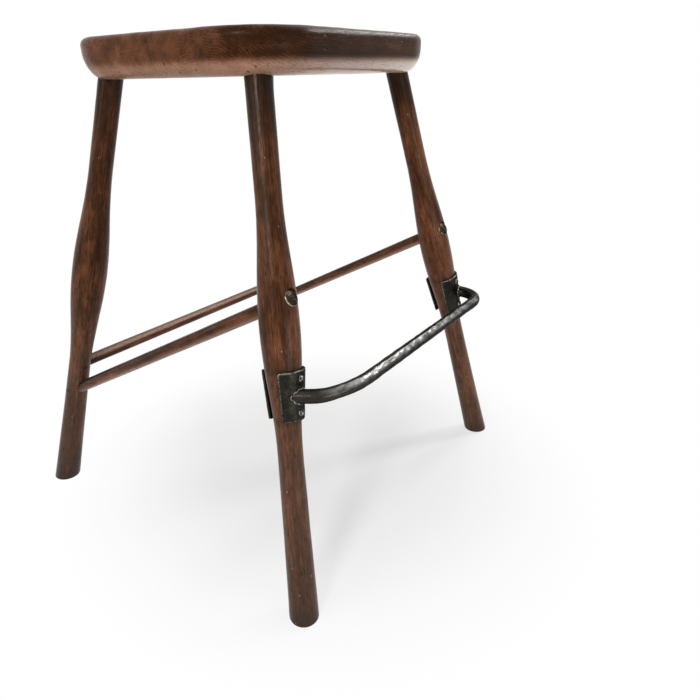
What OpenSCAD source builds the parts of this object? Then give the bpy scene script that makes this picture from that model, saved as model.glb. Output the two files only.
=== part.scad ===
// Bar stool with a forged footrest: a thick solid wood seat on four splayed, turned legs.
// Frame: +Z up, +X across to the sitter's left, front of the stool towards -Y, origin on the floor
// under the middle of the stool. All sizes are in millimetres.

/* [Seat] */
// Width of the seat, side to side
seat_w = 400; // [360:2:460]
// Depth of the seat, front to back
seat_d = 368; // [340:2:420]
// Thickness of the seat slab
seat_t = 50; // [48:1:60]
// Height of the seat's underside at its middle
seat_h = 644; // [560:2:740]
// Fall of the seat towards the back, in degrees
seat_pitch = 1.5; // [0:0.5:4]
// Radius of the seat's corners in plan
seat_corner_r = 88; // [50:1:110]
// Height of the soft lower edge
seat_lower_edge_h = 34; // [24:1:36]
// Run of the soft lower edge, inwards
seat_lower_edge_run = 24; // [12:1:30]
// Radius of the upper edge
seat_upper_edge_r = 10; // [4:1:11]
// Width of the shallow hollow in the top
dish_w = 250; // [180:5:280]
// Depth of that hollow
dish_depth = 6; // [3:0.5:9]

/* [Legs] */
// Distance from a side of the seat in to the middle of the legs
leg_inset_side = 45.5; // [42:0.5:60]
// Distance from the front or back of the seat in to the middle of the legs
leg_inset_front = 50; // [46:0.5:64]
// Distance that a foot stands out sideways from the top of its leg
leg_splay_side = 121.5; // [100:0.5:140]
// Distance that a foot stands out to the front or back from the top of its leg
leg_splay_front = 135; // [110:0.5:150]
// Diameter of a leg at the floor
leg_foot_dia = 40; // [36:0.5:46]
// Diameter of a leg where it is slimmest
leg_slim_dia = 32.5; // [30:0.5:36]
// Diameter of a leg at its swell
leg_swell_dia = 50.5; // [44:0.5:56]
// Distance up the leg to the middle of the swell
leg_swell_at = 386; // [360:2:400]
// Length of the swell along the leg
leg_swell_len = 316; // [280:4:340]
// Length of the foot's taper along the leg
leg_foot_taper = 250; // [180:5:280]
// Chamfer round the floor face of a foot
foot_chamfer = 1.5; // [0.5:0.5:3]
// Diameter of the tenon that passes through the seat
leg_tenon_dia = 25; // [20:0.5:28]
// Thickness of a wedge at its wide end
wedge_t = 3.2; // [2:0.2:4]
// Depth to which a wedge is driven into its tenon
wedge_depth = 32; // [20:1:40]

/* [Stretchers] */
// Diameter of the stretchers
stretcher_dia = 18; // [15:0.5:20]
// Height of a side stretcher at the front leg
side_front_h = 400; // [380:2:420]
// Height of a side stretcher at the back leg
side_back_h = 170; // [150:2:180]
// Height of the back stretcher
back_h = 216; // [210:2:240]
// Distance that a stretcher's end goes past the middle of a leg
stretcher_past = 6; // [3:0.5:8]
// Diameter of the pegs that lock the stretchers in the back legs
peg_dia = 6; // [4:0.5:8]

/* [Stretcher screws] */
// Diameter of the slotted head
screw_head_dia = 22; // [16:0.5:24]
// Thickness of the head at its rim
screw_rim_t = 2.6; // [2:0.2:4]
// Rise of the head's dome above the rim
screw_dome_h = 2.4; // [1:0.2:4]
// Width of the slot
screw_slot_w = 2.8; // [1.6:0.2:3.4]
// Depth of the slot from the top of the dome
screw_slot_depth = 2.4; // [1.4:0.2:3]
// Turn of the slot about the screw, in degrees
screw_slot_turn = 35; // [0:5:175]
// Diameter of the shank
screw_shank_dia = 6; // [5:0.5:8]
// Length of the shank inside the stretcher
screw_bite = 36; // [24:1:60]
// Depth that the head is let into the leg
screw_sink = 3.6; // [3:0.2:5]

/* [Footrest] */
// Diameter of the footrest bar
bar_dia = 18.5; // [14:0.5:20]
// Height of the bar's centre line
bar_h = 296; // [280:2:310]
// Distance from the middle of the legs forward to the bar's straight run
bar_reach = 66; // [58:1:80]
// Angle at which the left end meets its leg, in degrees from the straight run
left_bend_angle = 56; // [52:1:60]
// Angle of the easy curve that leads into the left bend, in degrees
left_ease_angle = 24; // [18:1:26]
// Radius of the easy curve
left_ease_r = 150; // [120:5:160]
// Straight length between the left bend and its plate
left_straight = 11; // [6:0.5:16]
// Straight length between the right bend and its plate
right_straight = 3.5; // [3:0.5:12]
// Distance outwards from the right leg's middle to the bar's end
right_end_shift = 9.5; // [0:0.5:11]
// Radial width of the weld where it meets the plate
weld_w = 4; // [2:0.5:5]
// Length of the weld along the bar
weld_len = 3; // [2:0.5:4]

/* [Iron plates] */
// Distance from the plates' middle up to the bar's centre line
bar_on_plate = 4; // [-6:0.5:8]
// Length of the plates along the leg
plate_len = 64; // [54:1:72]
// Thickness of the plates
plate_t = 4; // [2.5:0.5:5]
// Angle that a front plate wraps round its leg, in degrees
plate_wrap = 134; // [100:2:170]
// Width of the flat plate behind the leg
back_plate_w = 22; // [18:1:30]
// Distance of each bolt from the middle of the plate
bolt_offset = 21.5; // [18:0.5:24]
// Diameter of the bolts
bolt_dia = 6; // [5:0.5:8]
// Diameter of the bolts' domed heads and nuts
bolt_head_dia = 10; // [9:0.5:13]
// Height of the domed heads and nuts
bolt_head_h = 4; // [3:0.5:5]

/* [Fits] */
// Clearance all round a stretcher or a tenon in its socket
socket_fit = 0.1; // [0.05:0.05:0.3]
// Clearance all round a bolt or a screw in its hole
bolt_fit = 0.3; // [0.1:0.1:0.5]
// Clearance between a front plate and the wood
plate_fit = 0.2; // [0.1:0.1:0.4]

/* [Hidden] */
$fn = 72;

LEFT = -1;
RIGHT = 1;
FRONT = -1;
BACK = 1;
// Side of a block that is larger than anything it trims
block = 900;
// Overrun of a cut past the face that it starts from
over = 1;
// Steps of a turned profile along the leg, of a front plate, and of a rounded edge
leg_steps = 48;
plate_steps = 8;
edge_steps = 8;
// Length of wood that the floor cuts from a foot, and the seat from a leg's neck
trim = 24;
// Clear space bored out in front of a screw's head
head_room = 20;
// Thickness of a wedge's thin end, as a share of its wide end
wedge_taper = 0.4;
// Thickness of the weld at its thin end
weld_thin = 1;
// Straight gap between two bends of the bar, and the lap and the hair's difference in diameter
// that make straights and bends one solid
bend_gap = 2;
bar_lap = 0.5;
bend_slim = 0.1;
// Length of a dome's stem, which a plate trims
dome_stem = 2;

wood = "#5b3a28";
wood_light = "#7a5236";
iron = "#2b2a26";
steel = "#5d5a55";

function reversed(list) = [for (i = [len(list) - 1 : -1 : 0]) list[i]];

// ---------- Where things stand ----------

function leg_dx(sx) = -sx * leg_splay_side;
function leg_dy(sy) = -sy * leg_splay_front;
leg_len = norm([leg_dx(RIGHT), leg_dy(BACK), seat_h]);

// Point on a leg's centre line at a height z, and the distance up the leg to that height
function leg_point(sx, sy, z) = [
    sx * (seat_w / 2 - leg_inset_side) + leg_dx(sx) * (z / seat_h - 1),
    sy * (seat_d / 2 - leg_inset_front) + leg_dy(sy) * (z / seat_h - 1),
    z
];
function up_leg(z) = z * leg_len / seat_h;

// Radius of a turned leg at a distance t up its length
function swell(t) = abs(t - leg_swell_at) < leg_swell_len / 2
    ? pow(cos(180 * (t - leg_swell_at) / leg_swell_len), 2) : 0;
function leg_r(t) = (leg_slim_dia
    + (leg_foot_dia - leg_slim_dia) * pow(max(0, 1 - t / leg_foot_taper), 1.5)
    + (leg_swell_dia - leg_slim_dia) * swell(t)) / 2;

plate_at = up_leg(bar_h - bar_on_plate);
plate_low = plate_at - plate_len / 2;
plate_high = plate_at + plate_len / 2;
plate_out = plate_fit + plate_t;
plate_r = leg_r(plate_at) + plate_out;

// Puts children in a leg's own frame: z up its centre line from the floor, -y to the front
module in_leg(sx, sy) {
    translate(leg_point(sx, sy, 0))
        rotate([-asin(leg_dy(sy) / leg_len), atan(leg_dx(sx) / seat_h), 0])
            children();
}

// Puts children in the seat's own frame: z = 0 on its underside
module in_seat() {
    translate([0, 0, seat_h]) rotate([-seat_pitch, 0, 0]) children();
}

// Puts children at point p with z pointing to point q
module towards(p, q) {
    d = q - p;
    translate(p) rotate([0, acos(d[2] / norm(d)), atan2(d[1], d[0])]) children();
}

// ---------- Turned legs ----------

// Solid of the leg's profile from t0 to t1, made larger all round by grow
module turned(t0, t1, grow = 0, steps = leg_steps) {
    rotate_extrude()
        polygon(concat(
            [[0, t0]],
            [for (i = [0 : steps]) let (t = t0 + (t1 - t0) * i / steps) [leg_r(t) + grow, t]],
            [[0, t1]]
        ));
}

module above_seat_line(level) {
    in_seat() translate([-block / 2, -block / 2, level]) cube([block, block, block]);
}

module tenon(grow = 0) {
    translate([0, 0, leg_len - trim]) cylinder(d = leg_tenon_dia + 2 * grow, h = 2 * trim + 2 * seat_t);
}

// A turned leg with its tenon, cut level at the floor and flush with the top of the seat
module leg_blank(sx, sy) {
    difference() {
        in_leg(sx, sy) turned(-trim, leg_len + trim);
        above_seat_line(0);
        translate([-block / 2, -block / 2, -block]) cube([block, block, block]);
        translate(leg_point(sx, sy, 0))
            rotate_extrude()
                polygon([
                    [leg_foot_dia / 2 - foot_chamfer - over, -over],
                    [leg_foot_dia, -over],
                    [leg_foot_dia, leg_foot_dia / 2 + foot_chamfer]
                ]);
    }
    difference() {
        in_leg(sx, sy) tenon();
        above_seat_line(seat_t);
    }
}

// ---------- Wedges in the tenons ----------

module wedge_shape(length) {
    wide = wedge_t / 2;
    thin = wide * wedge_taper;
    foot_at = leg_len + seat_t - wedge_depth;
    // The taper runs on past the top of the seat, where the wedge is sawn off
    rise = trim + wedge_depth;
    spread = (wide - thin) / wedge_depth;
    rotate([90, 0, 0])
        linear_extrude(height = length, center = true)
            polygon([
                [-thin, foot_at],
                [thin, foot_at],
                [thin + spread * rise, foot_at + rise],
                [-thin - spread * rise, foot_at + rise]
            ]);
}

module leg_wedge(sx, sy) {
    difference() {
        in_leg(sx, sy)
            intersection() {
                wedge_shape(2 * leg_tenon_dia);
                tenon();
            }
        above_seat_line(seat_t);
    }
}

// ---------- Stretchers, their sockets, pegs and screws ----------

function side_front(sx) = leg_point(sx, FRONT, side_front_h);
function side_back(sx) = leg_point(sx, BACK, side_back_h);
function side_len(sx) = norm(side_back(sx) - side_front(sx));

module side_dowel(sx, grow = 0, extra = 0) {
    towards(side_front(sx), side_back(sx))
        translate([0, 0, -stretcher_past - extra])
            cylinder(d = stretcher_dia + 2 * grow, h = side_len(sx) + 2 * stretcher_past + 2 * extra);
}

module back_dowel(grow = 0, extra = 0) {
    length = 2 * leg_point(RIGHT, BACK, back_h)[0] + 2 * stretcher_past + 2 * extra;
    translate([0, leg_point(RIGHT, BACK, back_h)[1], back_h])
        rotate([0, 90, 0])
            cylinder(d = stretcher_dia + 2 * grow, h = length, center = true);
}

// A peg crosses a back leg at the middle of a stretcher's end: along x through a side stretcher,
// along y through the back stretcher
module side_peg(sx, extra = 0) {
    in_leg(sx, BACK)
        translate([0, 0, up_leg(side_back_h)])
            rotate([0, 90, 0])
                cylinder(d = peg_dia, h = 2 * (leg_r(up_leg(side_back_h)) + extra), center = true);
}

module back_peg(sx, extra = 0) {
    in_leg(sx, BACK)
        translate([0, 0, up_leg(back_h)])
            rotate([90, 0, 0])
                cylinder(d = peg_dia, h = 2 * (leg_r(up_leg(back_h)) + extra), center = true);
}

// The screw's own frame: z outwards along the side stretcher, from the middle of the front leg
module in_screw(sx) {
    towards(side_front(sx), 2 * side_front(sx) - side_back(sx)) children();
}

screw_seat_at = leg_r(up_leg(side_front_h)) - screw_sink;

module screw_shank(grow = 0, extra = 0) {
    translate([0, 0, -stretcher_past - screw_bite])
        cylinder(
            d = screw_shank_dia + 2 * grow,
            h = screw_seat_at + stretcher_past + screw_bite + extra
        );
}

module screw_recess() {
    translate([0, 0, screw_seat_at]) cylinder(d = screw_head_dia + 2 * bolt_fit, h = head_room);
}

module slotted_screw() {
    rim_r = screw_head_dia / 2;
    dome_r = (rim_r * rim_r + screw_dome_h * screw_dome_h) / (2 * screw_dome_h);
    top = screw_seat_at + screw_rim_t + screw_dome_h;
    screw_shank(extra = screw_rim_t / 2);
    difference() {
        intersection() {
            translate([0, 0, screw_seat_at]) cylinder(r = rim_r, h = screw_rim_t + screw_dome_h);
            translate([0, 0, top - dome_r]) sphere(r = dome_r, $fn = 180);
        }
        rotate([0, 0, screw_slot_turn])
            translate([-rim_r - over, -screw_slot_w / 2, top - screw_slot_depth])
                cube([2 * (rim_r + over), screw_slot_w, screw_slot_depth + over]);
    }
}

// ---------- Footrest bar ----------

bar_leg = leg_point(RIGHT, FRONT, bar_h);
bar_y = bar_leg[1] - bar_reach;
// Distance from the bar's straight run back to the front plates' outer faces
plate_reach = bar_reach - plate_r;
// Radii that the bends need to leave the named straight lengths
left_bend_r = (plate_reach - left_ease_r * (1 - cos(left_ease_angle)) - bend_gap * sin(left_ease_angle)
    - left_straight * sin(left_bend_angle)) / (cos(left_ease_angle) - cos(left_bend_angle));
right_bend_r = plate_reach - right_straight;

// The bends of an end, from the straight run outwards: [radius, angle]
function bends(sx) = sx == LEFT
    ? [[left_ease_r, left_ease_angle], [left_bend_r, left_bend_angle - left_ease_angle]]
    : [[right_bend_r, 90]];
function tail_no(sx) = len(bends(sx));
// Heading and place where bend i starts, measured outwards and back from the end of the run
function heading(sx, i) = i == 0 ? 0 : heading(sx, i - 1) + bends(sx)[i - 1][1];
function bend_at(sx, i) = i == 0 ? [0, 0] :
    let (r = bends(sx)[i - 1][0], from = heading(sx, i - 1), to = heading(sx, i))
    bend_at(sx, i - 1) + r * [sin(to) - sin(from), cos(from) - cos(to)]
        + bend_gap * [cos(to), sin(to)];
function tail_at(sx) = bend_at(sx, tail_no(sx));
function tail_angle(sx) = heading(sx, tail_no(sx));
function end_shift(sx) = sx == RIGHT ? right_end_shift : 0;
// Half length of the straight run on each side, so that the tail meets its plate where it should
function run_end(sx) = bar_leg[0] + end_shift(sx) - tail_at(sx)[0]
    - (plate_reach - tail_at(sx)[1]) * cos(tail_angle(sx)) / sin(tail_angle(sx));
function tail_to_plate(sx) = (plate_reach - tail_at(sx)[1]) / sin(tail_angle(sx));
// Tail and weld run on behind the plate's middle until its round face has trimmed all of them:
// for the plate's roundness, the bar's slant and the leg's lean
function slant(sx) = bar_dia / 2 * cos(tail_angle(sx)) / sin(tail_angle(sx));
function tail_over(sx) =
    plate_r - sqrt(max(0, pow(plate_r, 2) - pow(end_shift(sx) + bar_dia / 2 + weld_w, 2)))
    + slant(sx) + bar_dia / 4;

// A straight piece along x that laps into the bends at both of its ends
module bar_straight(length) {
    translate([-bar_lap, 0, 0]) rotate([0, 90, 0]) cylinder(d = bar_dia, h = length + 2 * bar_lap);
}

// Puts children where bend i of an end starts, with x along the bar and y back
module at_bend(sx, i) {
    translate([sx * run_end(sx), bar_y, bar_h])
        rotate([0, sx == LEFT ? 180 : 0, 0])
            translate(bend_at(sx, i)) rotate([0, 0, heading(sx, i)]) children();
}

module bar_bend(sx, i) {
    r = bends(sx)[i][0];
    at_bend(sx, i)
        translate([0, r, 0])
            rotate([0, 0, -90])
                rotate_extrude(angle = bends(sx)[i][1]) translate([r, 0]) circle(d = bar_dia - bend_slim);
}

module bar_tail(sx) {
    at_bend(sx, tail_no(sx))
        translate([-bend_gap, 0, 0]) bar_straight(bend_gap + tail_to_plate(sx) + tail_over(sx));
}

module bar_blank() {
    translate([-run_end(LEFT), bar_y, bar_h]) bar_straight(run_end(LEFT) + run_end(RIGHT));
    for (sx = [LEFT, RIGHT]) {
        for (i = [0 : tail_no(sx) - 1]) {
            bar_bend(sx, i);
            if (i > 0) at_bend(sx, i) translate([-bend_gap, 0, 0]) bar_straight(bend_gap);
        }
        bar_tail(sx);
    }
}

// The leg and its front plate as one solid, to trim what is fitted against the plate
module plated_leg(sx) {
    in_leg(sx, FRONT) turned(plate_low, plate_high, plate_out, plate_steps);
}

// The weld covers the whole slanting joint, and the plate's face trims it
module weld_bead(sx) {
    length = weld_len + slant(sx);
    difference() {
        at_bend(sx, tail_no(sx))
            translate([tail_to_plate(sx) - length, 0, 0])
                rotate([0, 90, 0])
                    cylinder(
                        r1 = bar_dia / 2 + weld_thin, r2 = bar_dia / 2 + weld_w,
                        h = length + tail_over(sx)
                    );
        plated_leg(sx);
        bar_tail(sx);
    }
}

// ---------- Plates, bolts and nuts ----------

// Points of the leg's profile under a plate, set out from the wood by grow
function plate_side(grow) = [for (i = [0 : plate_steps])
    let (t = plate_low + plate_len * i / plate_steps) [leg_r(t) + grow, t]];

module saddle_plate(sx) {
    in_leg(sx, FRONT)
        difference() {
            rotate([0, 0, -90 - plate_wrap / 2])
                rotate_extrude(angle = plate_wrap)
                    polygon(concat(plate_side(plate_fit), reversed(plate_side(plate_out))));
            bolt_holes();
        }
}

// The flat plate lies along the back of the leg's taper
back_slope = atan((leg_r(plate_high) - leg_r(plate_low)) / plate_len);

module against_back() {
    translate([0, leg_r(plate_at) + plate_fit, plate_at]) rotate([-back_slope, 0, 0]) children();
}

module backing_plate(sx) {
    in_leg(sx, FRONT)
        difference() {
            against_back()
                translate([-back_plate_w / 2, 0, -plate_len / 2])
                    cube([back_plate_w, plate_t, plate_len]);
            bolt_holes();
        }
}

module bolt_line(t, d) {
    reach = leg_swell_dia;
    translate([0, 0, t]) rotate([90, 0, 0]) cylinder(d = d, h = 2 * reach, center = true);
}

module bolt_holes() {
    for (side = [-1, 1]) bolt_line(plate_at + side * bolt_offset, bolt_dia + 2 * bolt_fit);
}

// A low dome on a short stem that reaches inwards, for trimming against a plate
module dome() {
    rim_r = bolt_head_dia / 2;
    dome_r = (rim_r * rim_r + bolt_head_h * bolt_head_h) / (2 * bolt_head_h);
    intersection() {
        translate([0, 0, -dome_stem]) cylinder(r = rim_r, h = dome_stem + bolt_head_h);
        translate([0, 0, bolt_head_h - dome_r]) sphere(r = dome_r);
    }
}

function bolt_front(t) = leg_r(t) + plate_out;
function bolt_rear(t) = leg_r(plate_at) + plate_fit + plate_t + (t - plate_at) * tan(back_slope);

module plate_bolt(sx, t) {
    difference() {
        in_leg(sx, FRONT) translate([0, -bolt_front(t), t]) rotate([90, 0, 0]) dome();
        plated_leg(sx);
    }
    in_leg(sx, FRONT)
        translate([0, -bolt_front(t) - over, t])
            rotate([-90, 0, 0])
                cylinder(d = bolt_dia, h = bolt_front(t) + over + bolt_rear(t) + bolt_head_h / 2);
}

module plate_nut(sx, t) {
    in_leg(sx, FRONT)
        difference() {
            translate([0, bolt_rear(t), t]) rotate([-90, 0, 0]) dome();
            against_back() translate([-block / 2, plate_t - block, -block / 2]) cube(block);
            translate([0, 0, t])
                rotate([-90, 0, 0]) cylinder(d = bolt_dia, h = bolt_rear(t) + bolt_head_h / 2);
        }
}

// ---------- Seat ----------

// Inset and height of the seat's edge, from its underside to its top
function seat_edge() = concat(
    [for (i = [0 : edge_steps]) let (a = 90 * i / edge_steps)
        [seat_lower_edge_run * (1 - sin(a)), seat_lower_edge_h * (1 - cos(a))]],
    [for (i = [0 : edge_steps]) let (a = 90 * i / edge_steps)
        [seat_upper_edge_r * (1 - cos(a)), seat_t - seat_upper_edge_r * (1 - sin(a))]]
);

module slab_section(width) {
    polygon(concat(
        [for (p = seat_edge()) [width / 2 - p[0], p[1]]],
        [for (p = reversed(seat_edge())) [p[0] - width / 2, p[1]]]
    ));
}

module seat_corner() {
    rotate_extrude(angle = 90)
        polygon(concat(
            [[0, 0]],
            [for (p = seat_edge()) [seat_corner_r - p[0], p[1]]],
            [[0, seat_t]]
        ));
}

module seat_slab() {
    inner_w = seat_w - 2 * seat_corner_r;
    inner_d = seat_d - 2 * seat_corner_r;
    rotate([90, 0, 90]) linear_extrude(height = inner_w, center = true) slab_section(seat_d);
    rotate([90, 0, 0]) linear_extrude(height = inner_d, center = true) slab_section(seat_w);
    for (turn = [0 : 90 : 270]) {
        odd = turn % 180 != 0;
        rotate([0, 0, turn])
            translate([(odd ? inner_d : inner_w) / 2, (odd ? inner_w : inner_d) / 2, 0])
                seat_corner();
    }
}

module dish() {
    r = (dish_w * dish_w / 4 + dish_depth * dish_depth) / (2 * dish_depth);
    translate([0, 0, seat_t - dish_depth + r]) sphere(r = r, $fn = 360);
}

// ---------- Sub-parts ----------

module seat() {
    color(wood)
        difference() {
            in_seat() difference() {
                seat_slab();
                dish();
            }
            for (sx = [LEFT, RIGHT], sy = [FRONT, BACK]) in_leg(sx, sy) tenon(socket_fit);
        }
}

module front_leg(sx) {
    color(wood)
        difference() {
            leg_blank(sx, FRONT);
            side_dowel(sx, socket_fit, bolt_fit);
            in_screw(sx) screw_shank(bolt_fit, over);
            in_screw(sx) screw_recess();
            in_leg(sx, FRONT) bolt_holes();
            in_leg(sx, FRONT) wedge_shape(2 * leg_tenon_dia);
        }
}

module back_leg(sx) {
    color(wood)
        difference() {
            leg_blank(sx, BACK);
            side_dowel(sx, socket_fit, bolt_fit);
            back_dowel(socket_fit, bolt_fit);
            side_peg(sx, over);
            back_peg(sx, over);
            in_leg(sx, BACK) wedge_shape(2 * leg_tenon_dia);
        }
}

module leg_wedges() {
    color(wood_light) for (sx = [LEFT, RIGHT], sy = [FRONT, BACK]) leg_wedge(sx, sy);
}

module side_stretcher(sx) {
    color(wood)
        difference() {
            side_dowel(sx);
            side_peg(sx);
            in_screw(sx) screw_shank();
        }
}

module back_stretcher() {
    color(wood)
        difference() {
            back_dowel();
            for (sx = [LEFT, RIGHT]) back_peg(sx);
        }
}

module stretcher_pegs() {
    color(wood_light)
        for (sx = [LEFT, RIGHT]) {
            side_peg(sx);
            back_peg(sx);
        }
}

module stretcher_screws() {
    color(steel) for (sx = [LEFT, RIGHT]) in_screw(sx) slotted_screw();
}

module footrest_bar() {
    color(iron)
        difference() {
            bar_blank();
            for (sx = [LEFT, RIGHT]) plated_leg(sx);
        }
}

module plate_bolts() {
    color(iron)
        for (sx = [LEFT, RIGHT], side = [-1, 1]) plate_bolt(sx, plate_at + side * bolt_offset);
}

module plate_nuts() {
    color(iron)
        for (sx = [LEFT, RIGHT], side = [-1, 1]) plate_nut(sx, plate_at + side * bolt_offset);
}

seat();
front_leg(LEFT);  // leg_front_left
front_leg(RIGHT);  // leg_front_right
back_leg(LEFT);  // leg_back_left
back_leg(RIGHT);  // leg_back_right
leg_wedges();
side_stretcher(LEFT);  // side_stretcher_left
side_stretcher(RIGHT);  // side_stretcher_right
back_stretcher();
stretcher_pegs();
stretcher_screws();
footrest_bar();
color(iron) weld_bead(LEFT);  // weld_bead_left
color(iron) weld_bead(RIGHT);  // weld_bead_right
color(iron) saddle_plate(LEFT);  // saddle_plate_left
color(iron) saddle_plate(RIGHT);  // saddle_plate_right
color(iron) backing_plate(LEFT);  // backing_plate_left
color(iron) backing_plate(RIGHT);  // backing_plate_right
plate_bolts();
plate_nuts();
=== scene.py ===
"""Bar stool with a forged footrest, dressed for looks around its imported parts.

Sizes are written in millimetres and turned to metres where a mesh is made. Every piece is made in
the part's own frame: +Z up, -Y to the front, the origin on the floor under the middle of the stool.
"""

import logging
import math
from dataclasses import dataclass
from enum import Enum
from functools import partial
from typing import Any, Callable, Iterable, Mapping, Optional, Sequence

import bmesh
import bpy
import numpy as np
from bpy.types import Material, Mesh, Node, NodeSocket, NodeTree, Object
from mathutils import Matrix, Vector, noise


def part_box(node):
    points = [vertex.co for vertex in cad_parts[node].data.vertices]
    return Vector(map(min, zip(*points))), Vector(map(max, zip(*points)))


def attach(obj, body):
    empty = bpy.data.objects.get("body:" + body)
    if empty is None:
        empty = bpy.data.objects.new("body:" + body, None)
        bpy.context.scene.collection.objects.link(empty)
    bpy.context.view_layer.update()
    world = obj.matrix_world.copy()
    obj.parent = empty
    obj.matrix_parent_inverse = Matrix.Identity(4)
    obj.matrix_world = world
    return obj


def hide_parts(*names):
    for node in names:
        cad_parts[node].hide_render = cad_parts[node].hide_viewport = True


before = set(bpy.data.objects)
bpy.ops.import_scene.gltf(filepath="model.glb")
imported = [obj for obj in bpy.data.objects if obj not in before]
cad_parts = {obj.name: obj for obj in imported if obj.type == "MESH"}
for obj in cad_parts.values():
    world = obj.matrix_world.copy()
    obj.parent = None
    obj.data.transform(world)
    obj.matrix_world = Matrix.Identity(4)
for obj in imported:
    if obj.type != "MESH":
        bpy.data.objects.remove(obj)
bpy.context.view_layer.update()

# Takes the points of a flat plate and returns them bent
Bend = Callable[[np.ndarray], np.ndarray]
# Takes the points of a wooden piece and returns its marks by name
Marks = Callable[[np.ndarray], dict[str, np.ndarray]]

LOG = logging.getLogger("bar_stool")
MM = 0.001
BODY = "root"
FULL_TURN = 2 * math.pi
QUARTER_TURN = math.pi / 2
# Halvings of a search, which leave far less than a thousandth of a millimetre
HALVINGS = 40
# Points round a tenon and its socket
TENON_SIDES = 64
# What a wooden piece tells its material about each point, next to the grain
WOOD_MARKS = ("tone", "dust", "polish")


class Side(Enum):
    """A side of the stool, as the sign of X."""

    LEFT = -1
    RIGHT = 1

    def __str__(self) -> str:
        """Returns the side's word in the names of pieces."""
        return self.name.lower()


class Row(Enum):
    """Front or back of the stool, as the sign of Y."""

    FRONT = -1
    BACK = 1

    def __str__(self) -> str:
        """Returns the row's word in the names of pieces."""
        return self.name.lower()


class Slot(Enum):
    """The record's material slots."""

    WOOD = "stained_wood"
    WEDGE = "wedge_wood"
    IRON = "forged_iron"
    SCREW = "screw_steel"


# ---------------------------------------------------------------- colour, nodes and meshes


def linear(hex_code: str) -> tuple[float, float, float, float]:
    """Turns an sRGB hex colour to linear values.

    Args:
        hex_code: Colour such as "#5b3a28".

    Returns:
        Linear red, green and blue, and an alpha of 1.
    """
    parts = [int(hex_code[i : i + 2], 16) / 255 for i in (1, 3, 5)]
    red, green, blue = (c / 12.92 if c <= 0.04045 else ((c + 0.055) / 1.055) ** 2.4 for c in parts)
    return red, green, blue, 1.0


def add_node(
    tree: NodeTree, kind: str, inputs: Optional[Mapping[Any, Any]] = None, **settings: Any
) -> Node:
    """Adds a node with its settings, input values and links.

    Args:
        tree: Tree that gets the node.
        kind: Identifier of the node's type.
        inputs: Socket name or index to a value, to an output, or to a node whose first output feeds it.
        **settings: Properties of the node.

    Returns:
        The new node.
    """
    node = tree.nodes.new(kind)
    for name, value in settings.items():
        setattr(node, name, value)
    for key, value in (inputs or {}).items():
        source = value.outputs[0] if isinstance(value, Node) else value
        if isinstance(source, NodeSocket):
            tree.links.new(source, node.inputs[key])
        else:
            node.inputs[key].default_value = source
    return node


def blank_material(name: str) -> tuple[Material, Callable[..., Node]]:
    """Makes an empty node material.

    Args:
        name: Name of the finish.

    Returns:
        The material, and add_node bound to its tree.
    """
    material = bpy.data.materials.new(name)
    material.use_nodes = True
    material.node_tree.nodes.clear()
    return material, partial(add_node, material.node_tree)


def ramp_stops(node: Node, stops: Sequence[tuple[float, str]]) -> None:
    """Sets the stops of a colour ramp.

    Args:
        node: Colour ramp node.
        stops: Position and hex colour of each stop, in order.
    """
    elements = node.color_ramp.elements
    while len(elements) < len(stops):
        elements.new(1.0)
    for element, (position, colour) in zip(elements, stops):
        element.position = position
        element.color = linear(colour)


def outwards(mesh: Mesh, merge: float = 1e-7) -> None:
    """Merges doubles and points all faces outwards.

    Args:
        mesh: Mesh to tidy in place.
        merge: Points nearer than this, in metres, become one.
    """
    work = bmesh.new()
    work.from_mesh(mesh)
    bmesh.ops.remove_doubles(work, verts=work.verts, dist=merge)
    bmesh.ops.recalc_face_normals(work, faces=work.faces)
    work.to_mesh(mesh)
    work.free()
    mesh.shade_smooth()


def ring_mesh(name: str, rings: np.ndarray) -> Mesh:
    """Makes a closed shell from rings of points, with a fan over each end.

    Args:
        name: Name of the mesh.
        rings: Array of (rings, points, 3), in millimetres in the part's frame.

    Returns:
        The mesh in metres, smooth, with its faces outwards.
    """
    count, size, _ = rings.shape
    points = np.concatenate([rings.reshape(-1, 3), rings[:1].mean(1), rings[-1:].mean(1)]) * MM
    pairs = [(j, (j + 1) % size) for j in range(size)]
    faces = [(i * size + j, i * size + k, (i + 1) * size + k, (i + 1) * size + j)
             for i in range(count - 1) for j, k in pairs]
    low, last = count * size, (count - 1) * size
    for j, k in pairs:
        faces += [(low, k, j), (low + 1, last + j, last + k)]
    mesh = bpy.data.meshes.new(name)
    mesh.from_pydata(points.tolist(), [], faces)
    outwards(mesh)
    return mesh


def polar(radius: Any, angle: np.ndarray, height: Any) -> np.ndarray:
    """Returns points at a radius and an angle about z, and at a height."""
    return np.stack(np.broadcast_arrays(radius * np.cos(angle), radius * np.sin(angle), height), -1)


def turned(profile: Iterable[tuple[float, float]], around: int) -> np.ndarray:
    """Turns a profile about z.

    Args:
        profile: Radius and height of each ring.
        around: Points in a ring.

    Returns:
        Array of (rings, around, 3).
    """
    angle = np.linspace(0, FULL_TURN, around, endpoint=False)
    return np.array([polar(r, angle, z) for r, z in profile])


def quarter_round(run: float, rise: float, count: int) -> list[tuple[float, float]]:
    """Returns the inset and the height of points up a rounded lower edge."""
    angles = np.linspace(0, QUARTER_TURN, count)
    return [(run * (1 - math.sin(a)), rise * (1 - math.cos(a))) for a in angles]


def stacked(outlines: Iterable[tuple[np.ndarray, Any]]) -> np.ndarray:
    """Stacks flat outlines.

    Args:
        outlines: Points (points, 2) of each outline, and one height or the height of each point.

    Returns:
        Array of (outlines, points, 3).
    """
    return np.array([np.column_stack([xy, np.broadcast_to(z, len(xy))]) for xy, z in outlines])


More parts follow.
